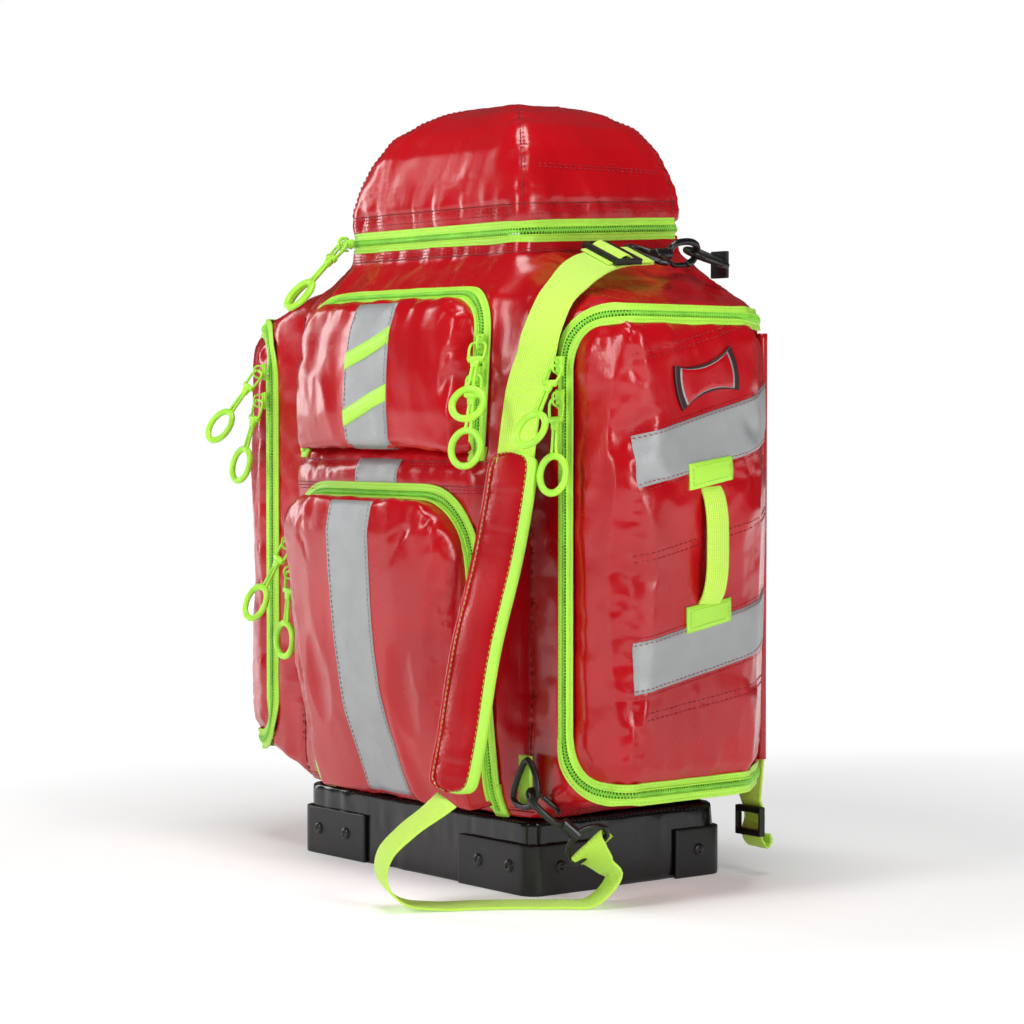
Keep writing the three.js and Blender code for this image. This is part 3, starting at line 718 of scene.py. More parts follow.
def soft_copy(name, node, body, material, voxel, relax, seed, size, pulls=(), channels=()):
    """A cloth piece in the place of a CAD solid: even small faces, rounded edges, creases."""
    cover = remeshed(name, node, voxel, relax)
    return tailored(cover, node, body, material, seed, size, pulls, channels)


def upright(x, low, high):
    """A plumb line on the body's front."""
    return np.array([[x, front_y(x, z), z] for z in np.arange(low, high, 4)])


def level_line(half, z):
    """A level line across the front between the pockets."""
    return np.array([[x, front_y(x, z), z] for x in np.arange(-half, half + 1, 4)])


CREASES = [upright(side * 156, 70, 462) for side in (-1, 1)]
BAND_SEAMS = [level_line(150, z) for z in (338.0, 319.0)]
YOKE_SEAM = hood_ring(503.0, 0.0)
body_skin = soft_copy("body_skin", "body_shell", "root", red, 3.6, 5, 11, 1.0,
                      [(LOWER_LINE, 0.9), (UPPER_LINE, 1.0), (HOOD_LINE, 1.4), (RIGHT_LINE, 1.2),
                       (LEFT_LINE, 1.2)],
                      [(line, 1.6) for line in CREASES + BAND_SEAMS[:1]] + [(YOKE_SEAM, 0.8)])


DOME_Z = (523.6, 541, 563, 585, 604, 617, 625, 629.5)
DOME_REACH = (1, 1.005, 0.95, 0.87, 0.74, 0.56, 0.34, 0.12)
DOME_Y = 1.5                                          # the dome's centre


def dome_line(corner, low=541, high=629):
    """A gore seam of the hood from its lower seam to the crown."""
    levels = np.linspace(low, high, 22)
    reach = np.interp(levels, DOME_Z, DOME_REACH)
    x, y = corner
    return resampled(np.stack([x * reach, DOME_Y + (y - DOME_Y) * reach, levels], 1), 3)


HOOD_CORNERS = [dome_line(corner) for corner in ((114, -79), (-114, -79), (116, 76), (-116, 76))]
HOOD_SEAM = hood_ring(541.0, 0.0, 84)


def side_face_x(side, y):
    """How far out a side pocket's outer face is."""
    return side * (258.6 - 7 * (y + 88) / 128)


def side_line(side, pairs):
    """A line on a side pocket's outer face from places in Y and Z."""
    return np.array([[side_face_x(side, y), y, z] for y, z in resampled(pairs, 4)])


SIDE_SEAMS = {
    "ridge": [[-85, 104], [-85, 440]],
    "high": [[-84, 418], [40, 447]],
    "middle": [[-85, 266], [84, 300]],
    "low": [[-85, 146], [84, 168]],
}
side_skins = {side: remeshed(f"side_pocket_skin_{hand}", f"side_pocket_panel_{hand}", 2.8, 5)
              for side, hand in HANDS}
hood_skin = remeshed("hood_skin", "hood_lid", 2.8, 5)
lower_skin = remeshed("lower_pocket_skin", "lower_pocket_panel", 2.6, 5)
upper_skin = remeshed("upper_pocket_skin", "upper_pocket_panel", 2.6, 5)
# cover, greatest move in mm, growth, zipper that holds it
settle([(hood_skin, 3, 0.012, HOOD_LINE), (lower_skin, 6, 0.03, LOWER_LINE),
        (upper_skin, 6, 0.03, UPPER_LINE), (side_skins[-1], 6, 0.03, LEFT_LINE),
        (side_skins[1], 6, 0.03, RIGHT_LINE)])
tailored(hood_skin, "hood_lid", "hood", red, 23, 0.65, [(HOOD_LINE, 0.8)],
         [(line, 1.1) for line in HOOD_CORNERS] + [(HOOD_SEAM, 1.6)])
tailored(lower_skin, "lower_pocket_panel", "lower_pocket", red, 31, 1.0, [(LOWER_LINE, 1.2)])
tailored(upper_skin, "upper_pocket_panel", "upper_pocket", red, 47, 1.0, [(UPPER_LINE, 1.2)])
for side, hand, line in ((-1, "left", LEFT_LINE), (1, "right", RIGHT_LINE)):
    seams = [(side_line(side, pairs), 1.2) for pairs in SIDE_SEAMS.values()]
    tailored(side_skins[side], f"side_pocket_panel_{hand}", f"{hand}_pocket", red, 60 + side, 1.0,
             [(line, 1.4)], seams)
BODY = Surface(body_skin)


# ---- Zippers: tapes and teeth on both sides of a line ----
TAPE_REACHES = np.arange(2.7, 10.6, 0.7)              # how far from the zipper's line the cloth is felt
TAPE_WIDTHS = np.array([0, 0.5, 1.6, 3.2, 5.2, 6.7, 7.3])
CAST = 45                                             # rays towards the cloth start this far out


def laid_tape(line, side, normal, surface, sign):
    """How a tape of even width lies over the cloth: places and outward ways in each cross-section."""
    heights = np.zeros((len(line), len(TAPE_REACHES)))
    for k, reach in enumerate(TAPE_REACHES):
        start = line + side * reach * sign + normal * CAST
        hits, _ = surface.cast(start, -normal, CAST + 15)
        height = CAST - np.linalg.norm(hits - start, axis=1)
        height[np.isnan(height)] = -1.0
        heights[:, k] = np.clip(height, -1.6, 16)
    heights = softened(heights, 3)
    heights[:, 0] = 0.5
    places = np.zeros((len(line), len(TAPE_WIDTHS), 2))
    for row in range(len(line)):
        run = run_along(np.stack([TAPE_REACHES, heights[row]], 1))
        places[row, :, 0] = np.interp(TAPE_WIDTHS, run, TAPE_REACHES)
        places[row, :, 1] = np.interp(TAPE_WIDTHS, run, heights[row])
    for axis in (0, 1):
        places[:, :, axis] = softened(places[:, :, axis], 3)
    slope = np.gradient(places, axis=1)
    ways = unit(np.stack([-slope[:, :, 1], slope[:, :, 0]], 2))
    return places, ways


def zipper_half(name, line, normal, sign, body, surface, node):
    """One tape with its row of teeth. Sign picks the side of the line."""
    along = tangents(line)
    side = unit(np.cross(along, normal))
    places, ways = laid_tape(line, side, normal, surface, sign)
    top, under = places + ways * 0.95, places - ways * 0.35
    profile = np.concatenate([top, under[:, ::-1]], 1) * [sign, 1]
    tape = Heap().add(*sweep(line, side, normal, profile))
    tape = tape.build(f"{name}_tape", lime_tape, body)
    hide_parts(node)
    teeth = Heap()
    fine = resampled(line, 2.5)
    fine_normal = unit(resampled_like(normal, len(fine)))
    fine_along = tangents(fine)
    fine_side = np.cross(fine_along, fine_normal)
    for i in range(len(fine)):
        centre = fine[i] + fine_along[i] * (0.62 * sign)
        add_tooth(teeth, centre, fine_side[i] * sign, fine_normal[i], fine_along[i])
    teeth.build(f"{name}_teeth", lime_teeth_painted_shade, body)
    stitches = Heap()
    seat, way = places[:, 4] + ways[:, 4] * 0.95, ways[:, 4]
    lie = line + side * seat[:, :1] * sign + normal * seat[:, 1:]
    add_stitches(stitches, lie, side * way[:, :1] * sign + normal * way[:, 1:], 2.6, 1.2, 0.26)
    stitches.build(f"{name}_tape_stitches", lime_stitch, body)
    return tape


def resampled_like(values, count):
    """Rows of values spread evenly over another number of rows."""
    at = np.linspace(0, len(values) - 1, count)
    return np.stack([np.interp(at, np.arange(len(values)), values[:, k]) for k in range(3)], 1)


def add_tooth(heap, centre, out, up, along):
    """A wrapped coil tooth: a short bar that is thicker where it grips."""
    rows = [(-1.1, 0.5, 0.7), (-0.3, 0.78, 1.5), (1.9, 0.6, 1.3), (3.1, 0.45, 0.3)]
    points = []
    for reach, half, height in rows:
        base = centre + out * reach
        points += [base - along * half, base - along * half * 0.6 + up * height,
                   base + along * half * 0.6 + up * height, base + along * half]
    faces = [[0, 1, 2, 3], [15, 14, 13, 12]]
    for row in range(3):
        for k in range(4):
            m = (k + 1) % 4
            faces.append([row * 4 + k, row * 4 + 4 + k, row * 4 + 4 + m, row * 4 + m])
    heap.add(points, faces)


def stands(obj, node):
    """A piece in the place of a CAD solid, which is hidden."""
    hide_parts(node)
    return obj


def add_stitches(heap, line, normal, length=3.4, gap=1.5, radius=0.4):
    """Separate thread stitches along a line that lies on a surface."""
    fine = resampled(line, (length + gap) / 4)
    up = unit(resampled_like(np.broadcast_to(normal, line.shape), len(fine)))
    along = tangents(fine)
    side = np.cross(along, up)
    rows = ((-0.5, -0.5), (-0.32, 0.25), (0.32, 0.25), (0.5, -0.5))
    for i in range(2, len(fine) - 2, 4):
        tip_a, tip_b = (fine[i] + along[i] * length * reach + up[i] * radius * lift
                        for reach, lift in rows[::3])
        points = [tip_a]
        for reach, lift in rows[1:3]:
            base = fine[i] + along[i] * length * reach + up[i] * radius * lift
            points += [base + way * radius for way in (side[i], up[i], -side[i], -up[i])]
        points.append(tip_b)
        faces = [[0, k, 1 + k % 4] for k in range(1, 5)]
        faces += [[k, k + 4, 5 + k % 4, 1 + k % 4] for k in range(1, 5)]
        faces += [[9, 5 + k % 4, k + 4] for k in range(1, 5)]
        heap.add(points, [face[::-1] for face in faces])


def zipper(name, line, panel_body, panel, node):
    """Both halves of a zipper: the first side stays with the body, the second goes with the panel."""
    normal = outward(line)
    side = np.cross(tangents(line), normal)
    middle = line.mean(0)
    panel_sign = 1 if np.sum((middle - line) * side, 1).mean() > 0 else -1
    if panel_body == "hood":
        panel_sign = 1 if side[:, 2].mean() > 0 else -1
    zipper_half(f"{name}_body_side", line, normal, -panel_sign, "root", BODY, node)
    zipper_half(f"{name}_panel_side", line, normal, panel_sign, panel_body, Surface(panel), node)


for name, line, panel, body, node in (
        ("lower_pocket", LOWER_LINE, lower_skin, "lower_pocket", "lower_pocket"),
        ("upper_pocket", UPPER_LINE, upper_skin, "upper_pocket", "upper_pocket"),
        ("hood", HOOD_LINE, hood_skin, "hood", "hood"),
        ("right", RIGHT_LINE, side_skins[1], "right_pocket", "side_right"),
        ("left", LEFT_LINE, side_skins[-1], "left_pocket", "side_left")):
    zipper(f"zip_{name}", line, body, panel, f"zipper_{node}")


# ---- Seams and stitch rows on the cloth ----
FRONT = ((0, -400, 0), (0, 1, 0), (0, 2))
SIDE_WAYS = {side: ((400 * side, 0, 0), (-side, 0, 0), (1, 2)) for side in (-1, 1)}


def cast_flat(flat, way, surface):
    """Places in one plane dropped on a surface along the third axis."""
    start, direction, axes = way
    origins = np.tile(np.array(start, float), (len(flat), 1))
    origins[:, axes] = flat
    return surface.cast(origins, np.tile(np.array(direction, float), (len(flat), 1)))


def laid(pairs, way, surface, step=2.0, smooth=2):
    """A flat line dropped on a surface along one axis: its places and normals there."""
    hits, normals = cast_flat(resampled(pairs, step), way, surface)
    kept = ~np.isnan(hits[:, 0])
    return softened(hits[kept], smooth), unit(softened(normals[kept], smooth))


def around(line, surface, centre=(0, 5)):
    """A line round the pack dropped inwards on a surface."""
    away = unit((line - [*centre, 0]) * [1, 1, 0])
    hits, normals = surface.cast(line + away * 25, -away, 60)
    kept = ~np.isnan(hits[:, 0])
    return softened(hits[kept], 2), unit(softened(normals[kept], 3))


def seam(name, laid_line, body, rows=(2.6,), both=False, welt=True, color=None):
    """A sewn seam: a thin dark-red line of painted shade where the cloths meet, with stitch rows beside it.
    """
    line, normal = laid_line
    side = unit(np.cross(tangents(line), normal))
    # a thin dark-red tube laid in the seam's groove as painted shade
    if welt:
        Heap().add(*tube(line + normal * 0.1, 0.55, side, sides=6)).build(f"{name}_join", red_seam_shade, body)
    stitches = Heap()
    for row in rows:
        for sign in ((-1, 1) if both else (1,)):
            add_stitches(stitches, line + side * row * sign + normal * 0.25, normal)
    stitches.build(f"{name}_stitches", color or red_stitch, body)


for number, crease in enumerate(CREASES):
    seam(f"body_crease_{number}", laid(crease[:, [0, 2]], FRONT, BODY), "root", (2.8,), True)
for number, band in enumerate(BAND_SEAMS):
    seam(f"front_band_{number}", laid(band[2:-2][:, [0, 2]], FRONT, BODY), "root", (2.6, 5.2))
seam("yoke", around(YOKE_SEAM, BODY), "root", (2.4, 4.9))
BASE_SEAM = [[152, 88, 66], [157, 40, 66], [157, -80, 66], [153, -98, 66], [118, -104, 66], [0, -106, 66],
             [-118, -104, 66], [-153, -98, 66], [-157, -80, 66], [-157, 40, 66], [-152, 88, 66]]
seam("base_join", around(resampled(BASE_SEAM, 3), BODY), "root", (2.4,))

HOOD = Surface(hood_skin)
seam("hood_band", around(HOOD_SEAM, HOOD), "hood", (-2.6, -5.2))
seam("hood_edge", around(hood_ring(530.5, 0.0, 84), HOOD), "hood", (2.4,), False, False)
for number, gore in enumerate(HOOD_CORNERS):
    seam(f"hood_gore_{number}", around(gore, HOOD, (0, 1.5)), "hood", (2.6,))
for sign, hand in ((1, "right"), (-1, "left")):
    across = [[sign * (112 - 0.2 * abs(y)), y, 576] for y in range(-56, 60, 4)]
    seam(f"hood_side_{hand}", around(np.array(across, float), HOOD, (0, 1.5)), "hood", (2.4, 5.0),
         False, False)

for side, hand in HANDS:
    face = Surface(side_skins[side])
    body = f"{hand}_pocket"
    for label in ("high", "middle", "low"):
        line = laid(SIDE_SEAMS[label], SIDE_WAYS[side], face)
        seam(f"side_{label}_{hand}", line, body, (-2.6, 2.6), welt=False)


# ---- Flat pieces sewn on: reflective tape, stripes, tabs, patch ----
def quad_grid(corners, nu, nv):
    """Even places inside a four-cornered outline."""
    a, b, c, d = (np.array(p, float) for p in corners)
    u, v = np.meshgrid(np.linspace(0, 1, nu), np.linspace(0, 1, nv))
    u, v = u[..., None], v[..., None]
    return (a * (1 - u) + b * u) * (1 - v) + (d * (1 - u) + c * u) * v


def filled(grid):
    """Gives each missing place in a grid the nearest row's value."""
    for row in grid:
        good = np.where(~np.isnan(row[:, 0]))[0]
        for k in range(len(row)):
            if np.isnan(row[k, 0]) and len(good):
                row[k] = row[good[np.abs(good - k).argmin()]]
    return grid


def slab(name, top, normals, thick, material, body):
    """A thin closed sheet from a grid of places."""
    nv, nu = top.shape[:2]
    count = nu * nv
    points = np.concatenate([top.reshape(-1, 3), (top - normals * thick).reshape(-1, 3)])
    faces = []
    for j in range(nv - 1):
        for i in range(nu - 1):
            a = j * nu + i
            quad = [a, a + 1, a + nu + 1, a + nu]
            faces += [quad, [corner + count for corner in quad[::-1]]]
    rim = list(range(nu)) + [j * nu + nu - 1 for j in range(1, nv)]
    rim += [(nv - 1) * nu + i for i in range(nu - 2, -1, -1)] + [j * nu for j in range(nv - 2, 0, -1)]
    for k, a in enumerate(rim):
        b = rim[(k + 1) % len(rim)]
        faces.append([a, a + count, b + count, b])
    obj = build(name, points, faces, material, body)
    return outward_faces(obj)


def outward_faces(obj):
    """Turns every face of a closed mesh outwards."""
    mesh = bmesh.new()
    mesh.from_mesh(obj.data)
    bmesh.ops.recalc_face_normals(mesh, faces=mesh.faces)
    mesh.to_mesh(obj.data)
    mesh.free()
    return obj


def dropped(grid, way, surface):
    """A grid of flat places cast on a surface, without any row that misses it."""
    hits, normals = cast_flat(grid.reshape(-1, 2), way, surface)
    shape = (*grid.shape[:2], 3)
    hits, normals = hits.reshape(shape), normals.reshape(shape)
    landed = ~np.isnan(hits[..., 0]).all(1)
    return filled(hits[landed]), unit(filled(normals[landed]))


def sewn_patch(name, corners, way, surface, material, body, lift=0.7, pitch=4.0, stitches=None, inset=2.2):
    """A flat piece on a surface, with a row of stitches inside its long edges."""
    a, b, c, d = (np.array(p, float) for p in corners)
    nu = max(3, int(np.linalg.norm(b - a) / pitch))
    nv = max(3, int(np.linalg.norm(d - a) / pitch))
    places, normals = dropped(quad_grid(corners, nu, nv), way, surface)
    patch = slab(name, places + normals * lift, normals, lift + 0.5, material, body)
    if stitches:
        heap = Heap()
        side = inset / max(np.linalg.norm(b - a), 1)
        for edge in (side, 1 - side):
            ends = [a + (b - a) * edge] * 2 + [d + (c - d) * edge] * 2
            line, normal = laid(quad_grid(ends, 2, nv * 2)[:, 0], way, surface)
            add_stitches(heap, line + normal * (lift + 0.2), normal, 2.8, 1.4, 0.3)
        heap.build(f"{name}_stitches", stitches, body)
    return patch


LOWER_PANEL, UPPER_PANEL = Surface(lower_skin), Surface(upper_skin)
STRIPE = (-26, 31)
for label, surface, body, low, high in (("lower", LOWER_PANEL, "lower_pocket", 69, 306),
                                        ("upper", UPPER_PANEL, "upper_pocket", 348, 464),
                                        ("band", BODY, "root", 317.5, 339.5)):
    corners = [[STRIPE[0], low], [STRIPE[1], low], [STRIPE[1], high], [STRIPE[0], high]]
    tape = sewn_patch(f"reflective_stripe_{label}", corners, FRONT, surface, grey_tape, body,
                      stitches=grey_stitch)
UPPER_TOP = Surface(upper_skin, bpy.data.objects["reflective_stripe_upper"])
for number, low in enumerate((365.0, 411.0)):
    rise, height = 21, 13.5
    left, right = STRIPE[:2]
    corners = [[left, low], [right, low + rise], [right, low + rise + height], [left, low + height]]
    chevron = sewn_patch(f"lime_stripe_{number}", corners, FRONT, UPPER_TOP, lime_tape, "upper_pocket")

SIDE_FACE = {side: Surface(side_skins[side]) for side in (-1, 1)}
BANDS = {"upper": [[-84, 320], [86, 356], [86, 401], [-84, 359]],
         "lower": [[-84, 164], [86, 197], [86, 238], [-84, 203]]}
for side, hand in HANDS:
    body = f"{hand}_pocket"
    for label, corners in BANDS.items():
        turned = [corners[1], corners[2], corners[3], corners[0]]
        tape = sewn_patch(f"reflective_band_{label}_{hand}", turned, SIDE_WAYS[side], SIDE_FACE[side],
                          grey_tape, body)
        rows = Heap()
        low_edge, high_edge = corners[:2], corners[3:1:-1]
        for edge, offset in ((low_edge, 2.2), (low_edge, -2.6), (high_edge, -2.2), (high_edge, 2.6)):
            pairs = [[y, z + offset] for y, z in edge]
            line, normal = laid(pairs, SIDE_WAYS[side], SIDE_FACE[side])
            add_stitches(rows, line + normal * 0.9, normal, 3.0, 1.4, 0.32)
        rows.build(f"reflective_band_{label}_{hand}_stitches", red_stitch, body)


def patch_outline(half_width, half_height, waist, bulge, count=9):
    """A plain sewn patch's outline: hollow long sides, slightly bulged ends."""
    u = np.linspace(-1, 1, count)
    top = [[half_width * t, half_height * (waist + (1 - waist) * t * t)] for t in u]
    end = [[half_width + bulge * (1 - t * t), half_height * -t] for t in u[1:-1]]
    right = top + end
    return np.array(right + [[-x, -y] for x, y in right])


def label_patch(side, hand):
    """A plain blank patch with a raised rim; nothing is written on it."""
    turn = math.radians(15)
    spin = np.array([[math.cos(turn), math.sin(turn)], [-math.sin(turn), math.cos(turn)]])
    centre = np.array([-14.5, 403.0])
    for label, size, lift, material in (("rim", 1.0, 2.4, dark_patch), ("line", 0.85, 2.7, grey_tape),
                                        ("field", 0.8, 2.9, red)):
        ring = patch_outline(31 * size, 17.5 * size, 0.62, 2.5)
        rows = np.stack([ring * s for s in (1.0, 0.97, 0.6, 0.25)])
        flat = rows @ spin + centre
        places, normals = dropped(flat, SIDE_WAYS[side], SIDE_FACE[side])
        normals[:] = unit(normals.mean((0, 1)))
        lifts = np.array([lift - 0.5, lift, lift, lift])[:, None, None]
        count = len(ring)
        points = np.concatenate([places[:1] - normals[:1] * 1.0, places + normals * lifts]).reshape(-1, 3)
        outward_faces(build(f"patch_{label}_{hand}", points, rings(count, 5), material, f"{hand}_pocket",
                            label != "rim"))


for side, hand in HANDS[::-1]:
    label_patch(side, hand)

# the cloth tabs over the front zippers' ends: side, half width, low and high edge
TABS = {"lower_left": (-1, 9, 61, 86), "lower_right": (1, 9, 61, 86), "upper_right": (1, 7, 339, 350),
        "upper_left": (-1, 7, 339, 350)}
for label, (side, half, low, high) in TABS.items():
    x = side * FRONT_HALF
    corners = [[x - half, low], [x + half, low], [x + half, high], [x - half, high]]
    tab = sewn_patch(f"zipper_tab_{label}", corners, FRONT, BODY, lime_tape, "root", 2.4, 3.0)


# ---- Webbing ----
def strap(name, line, hint, width, thick, material, body, steps=40, wave=0.0, seed=1):
    """Flat webbing along a spline, with distances across and along it in metres for its weave."""
    line = spline(line, steps)
    hint = np.asarray(hint, float)
    if hint.ndim == 2 and len(hint) != len(line):
        hint = resampled_like(hint, len(line))
    side, normal = framed(line, hint)
    if wave:
        run = np.arange(len(line)) / 3.0
        ripple = lattice_noise(np.stack([run, run * 0, run * 0 + seed], 1), seed)
        line = line + normal * (wave * ripple)[:, None]
    profile = round_profile(width, thick)
    points, faces = sweep(line, side, normal, profile)
    obj = build(name, points, faces, material, body)
    outward_faces(obj)
    run = run_along(line)
    uv = np.stack([np.tile(profile[:, 0], len(line)), np.repeat(run, len(profile))], 1) * MM
    layer = obj.data.uv_layers.new(name="run")
    indices = np.empty(len(obj.data.loops), int)
    obj.data.loops.foreach_get("vertex_index", indices)
    layer.data.foreach_set("uv", uv[indices].ravel())
    return obj


def blend_rows(rows, stops, count):
    """Directions spread along a strap between given stops."""
    t = np.linspace(0, 1, count)
    return np.stack([np.interp(t, stops, [row[k] for row in rows]) for k in range(3)], 1)


SLING_TOP = [(164, -1.5, 500), (165, -20, 499), (170, -45, 495), (178, -68, 488), (186, -88, 477),
             (189, -105.5, 463), (184, -114.5, 440), (178, -116, 420), (170, -119, 398), (167, -122, 372),
             (167, -126, 349), (166.7, -129, 330)]
SLING_PAD = [(167, -128, 346), (166.5, -134, 310), (163, -142, 264), (158, -159, 195), (157, -172, 127),
             (156, -181, 88)]
LOWER_EYE = np.array([206.1, -86.1, 44.5])
HOOK_WAY = unit([-0.4, -0.62, 0.67])                 # lower hook, from its webbing bar towards its nose
HOOK_BAR = unit(np.array([0.47, 0, 0.88]) - HOOK_WAY * np.dot(HOOK_WAY, [0.47, 0, 0.88]))
HOOK_OUT = np.cross(HOOK_BAR, HOOK_WAY)
HOOK_EYE = LOWER_EYE - HOOK_WAY * 2


def at_eye(along, out):
    """A place beside the lower hook's webbing bar."""
    return HOOK_EYE + HOOK_WAY * along + HOOK_OUT * out


SLING_LOW = [(155.5, -184, 83), (151, -195, 74), (143, -213, 60), (134, -227, 42), (133, -229, 24),
             (139, -216, 7), (151, -190, 1.8), (164, -163, 1.6), (180, -137, 1.6), (200, -112, 1.8),
             (217, -92, 4), at_eye(-26, 9), at_eye(-16, 6), at_eye(-6, 4.6), at_eye(0, 4.4), at_eye(3.8, 2),
             at_eye(3.8, -2), at_eye(0, -4.4), at_eye(-6, -3.4)]
over_shoulder, down_front = (0.93, 0, -0.36), (0.98, 0.18, 0)
top_hint = blend_rows([over_shoulder, over_shoulder, down_front, down_front], [0, 0.3, 0.6, 1], 60)
sling_top = strap("sling_webbing_top", SLING_TOP, top_hint, 38, 2.0, lime_web, "root", 60, 0.35)
stands(sling_top, "sling_webbing_upper")
on_floor = (0.9, -0.44, 0)
low_hint = blend_rows([(1, 0, 0), on_floor, on_floor, HOOK_BAR, HOOK_BAR], [0, 0.25, 0.55, 0.86, 1], 140)
sling_low = strap("sling_webbing_low", SLING_LOW, low_hint, 36, 1.8, lime_web, "root", 140)
stands(sling_low, "sling_webbing_lower")


def pad_shape():
    """The sling's sleeve: flat padded strip with round ends, bound in webbing along both edges."""
    line = spline(SLING_PAD, 90)
    side, normal = framed(line, (1, 0, 0))
    t = np.linspace(-1, 1, len(line))
    half = 25 * np.clip(1 - np.abs(t) ** 26, 0.02, 1) ** 0.5
    across = np.linspace(-1, 1, 11)
    ripple = lattice_noise(np.stack([t * 14, t * 0, t * 0], 1), 5)
    thick = 3.4 + 0.55 * ripple
    top = np.stack([half[:, None] * across, thick[:, None] * (1 - 0.55 * across ** 4)[None]], 2)
    under = top[:, ::-1] * [1, -0.8]
    pad = build("sling_pad_sleeve", *sweep(line, side, normal, np.concatenate([top, under], 1)), red, "root")
    outward_faces(pad)
    for label, sign in (("inner", -1), ("outer", 1)):
        edge = line + side * (half[:, None] * sign)
        binding = build(f"sling_pad_binding_{label}", *sweep(edge, side, normal, circle(4.3, 12, 1.02)),
                        lime_tape if sign > 0 else red, "root")
        outward_faces(binding)
        heap = Heap()
        add_stitches(heap, edge - side * sign * 3.2 + normal * 3.9, normal, 3.0, 1.4, 0.32)
        heap.build(f"sling_pad_stitches_{label}", lime_stitch, "root")
    return pad


pad = pad_shape()
stands(pad, "sling_pad")

GLIDE_X = unit([0.93, 0, -0.36])
GLIDE_UP = unit(np.cross(GLIDE_X, unit(np.array([-0.13, 0.98, 0.12]) + GLIDE_X * 0.164)))
glide_at = np.array([167, -32, 497])
glide_along = np.cross(GLIDE_UP, GLIDE_X)
over = [(-17, 2.2), (-11, 3.2), (-6, 6.5), (0, 9.2), (6, 6.5), (11, 3.2), (20, 2.6), (29, 2.6)]
weft = [glide_at + glide_along * a + GLIDE_UP * b for a, b in over]
strap("sling_webbing_over_bar", weft, GLIDE_X, 36, 1.6, lime_web, "root", 40)


def grab_handle(side, hand):
    """Webbing handle with a wide sewn tab at each end, stitched in a box."""
    y, low, high = -12, 221, 331
    x = side_face_x(side, y)
    rises = [(-8, 1.6), (4, 2.0), (17, 11), (32, 15), ((high - low) / 2, 16)]
    line = [(x + side * out, y, low + rise) for rise, out in rises]
    line += [(x + side * out, y, high - rise) for rise, out in rises[-2::-1]]
    body = f"{hand}_pocket"
    handle = strap(f"grab_webbing_{hand}", line, (0, 1, 0), 22, 2.4, lime_web, body, 40)
    stands(handle, f"grab_handle_{hand}")
    for label, z in (("low", low + 1), ("high", high)):
        corners = [[y - 24, z - 13.5], [y + 23, z - 5.5], [y + 23, z + 12.5], [y - 24, z + 6.5]]
        tab = sewn_patch(f"grab_tab_{label}_{hand}", corners, SIDE_WAYS[side], SIDE_FACE[side], lime_tape,
                         body, 1.9, 3)
        heap = Heap()
        inner = [[y - 20.5, z - 9.8], [y + 19.5, z - 3], [y + 19.5, z + 9], [y - 20.5, z + 3.6]]
        for k in range(4):
            row, normal = laid([inner[k], inner[(k + 1) % 4]], SIDE_WAYS[side], SIDE_FACE[side])
            add_stitches(heap, row + normal * 2.2, normal, 2.2, 1.0, 0.3)
        heap.build(f"grab_tab_{label}_{hand}_stitches", lime_stitch, body)


for side, hand in HANDS[::-1]:
    grab_handle(side, hand)

HAUL = [(-46, 123, 462), (-44, 125, 470), (-30, 131, 481), (0, 134, 485), (30, 131, 481), (44, 125, 470),
        (46, 123, 462)]
haul = strap("haul_webbing", HAUL, (0, 0.5, -0.87), 22, 4.6, lime_web, "root")
stands(haul, "haul_handle")

# ---- Back: padded panel, harness straps ----
UPRIGHT_CHANNELS = [np.array([[x, 112, z] for z in np.arange(90, 465, 5)], float) for x in (-46, 46)]
LEVEL_CHANNELS = [np.array([[x, 112, z] for x in np.arange(-125, 126, 5)], float) for z in (190, 330)]
back = soft_copy("back_pad", "back_panel", "root", black_mesh, 3.0, 7, 83, 0.7, channels=[
    *((line, 3.0) for line in UPRIGHT_CHANNELS), *((line, 2.5) for line in LEVEL_CHANNELS)])
# the right strap's padded part, its webbing and the end threaded through the ladder lock
HARNESS_PAD = np.array([[52, 123, 446], [58, 131, 400], [76, 139, 330], [88, 139, 260],
                        [92, 130, 205]], float)
HARNESS_TAIL = np.array([[92, 128, 196], [140, 124, 156], [178, 113, 116], [179, 109, 86],
                         [176, 109, 61]], float)
HARNESS_FOLD = np.array([[176, 109.5, 62], [176, 113.5, 52], [176, 114, 44], [176, 111, 36], [176, 113, 28],
                         [177, 118, 23], [178, 121, 28], [178, 119, 33]])


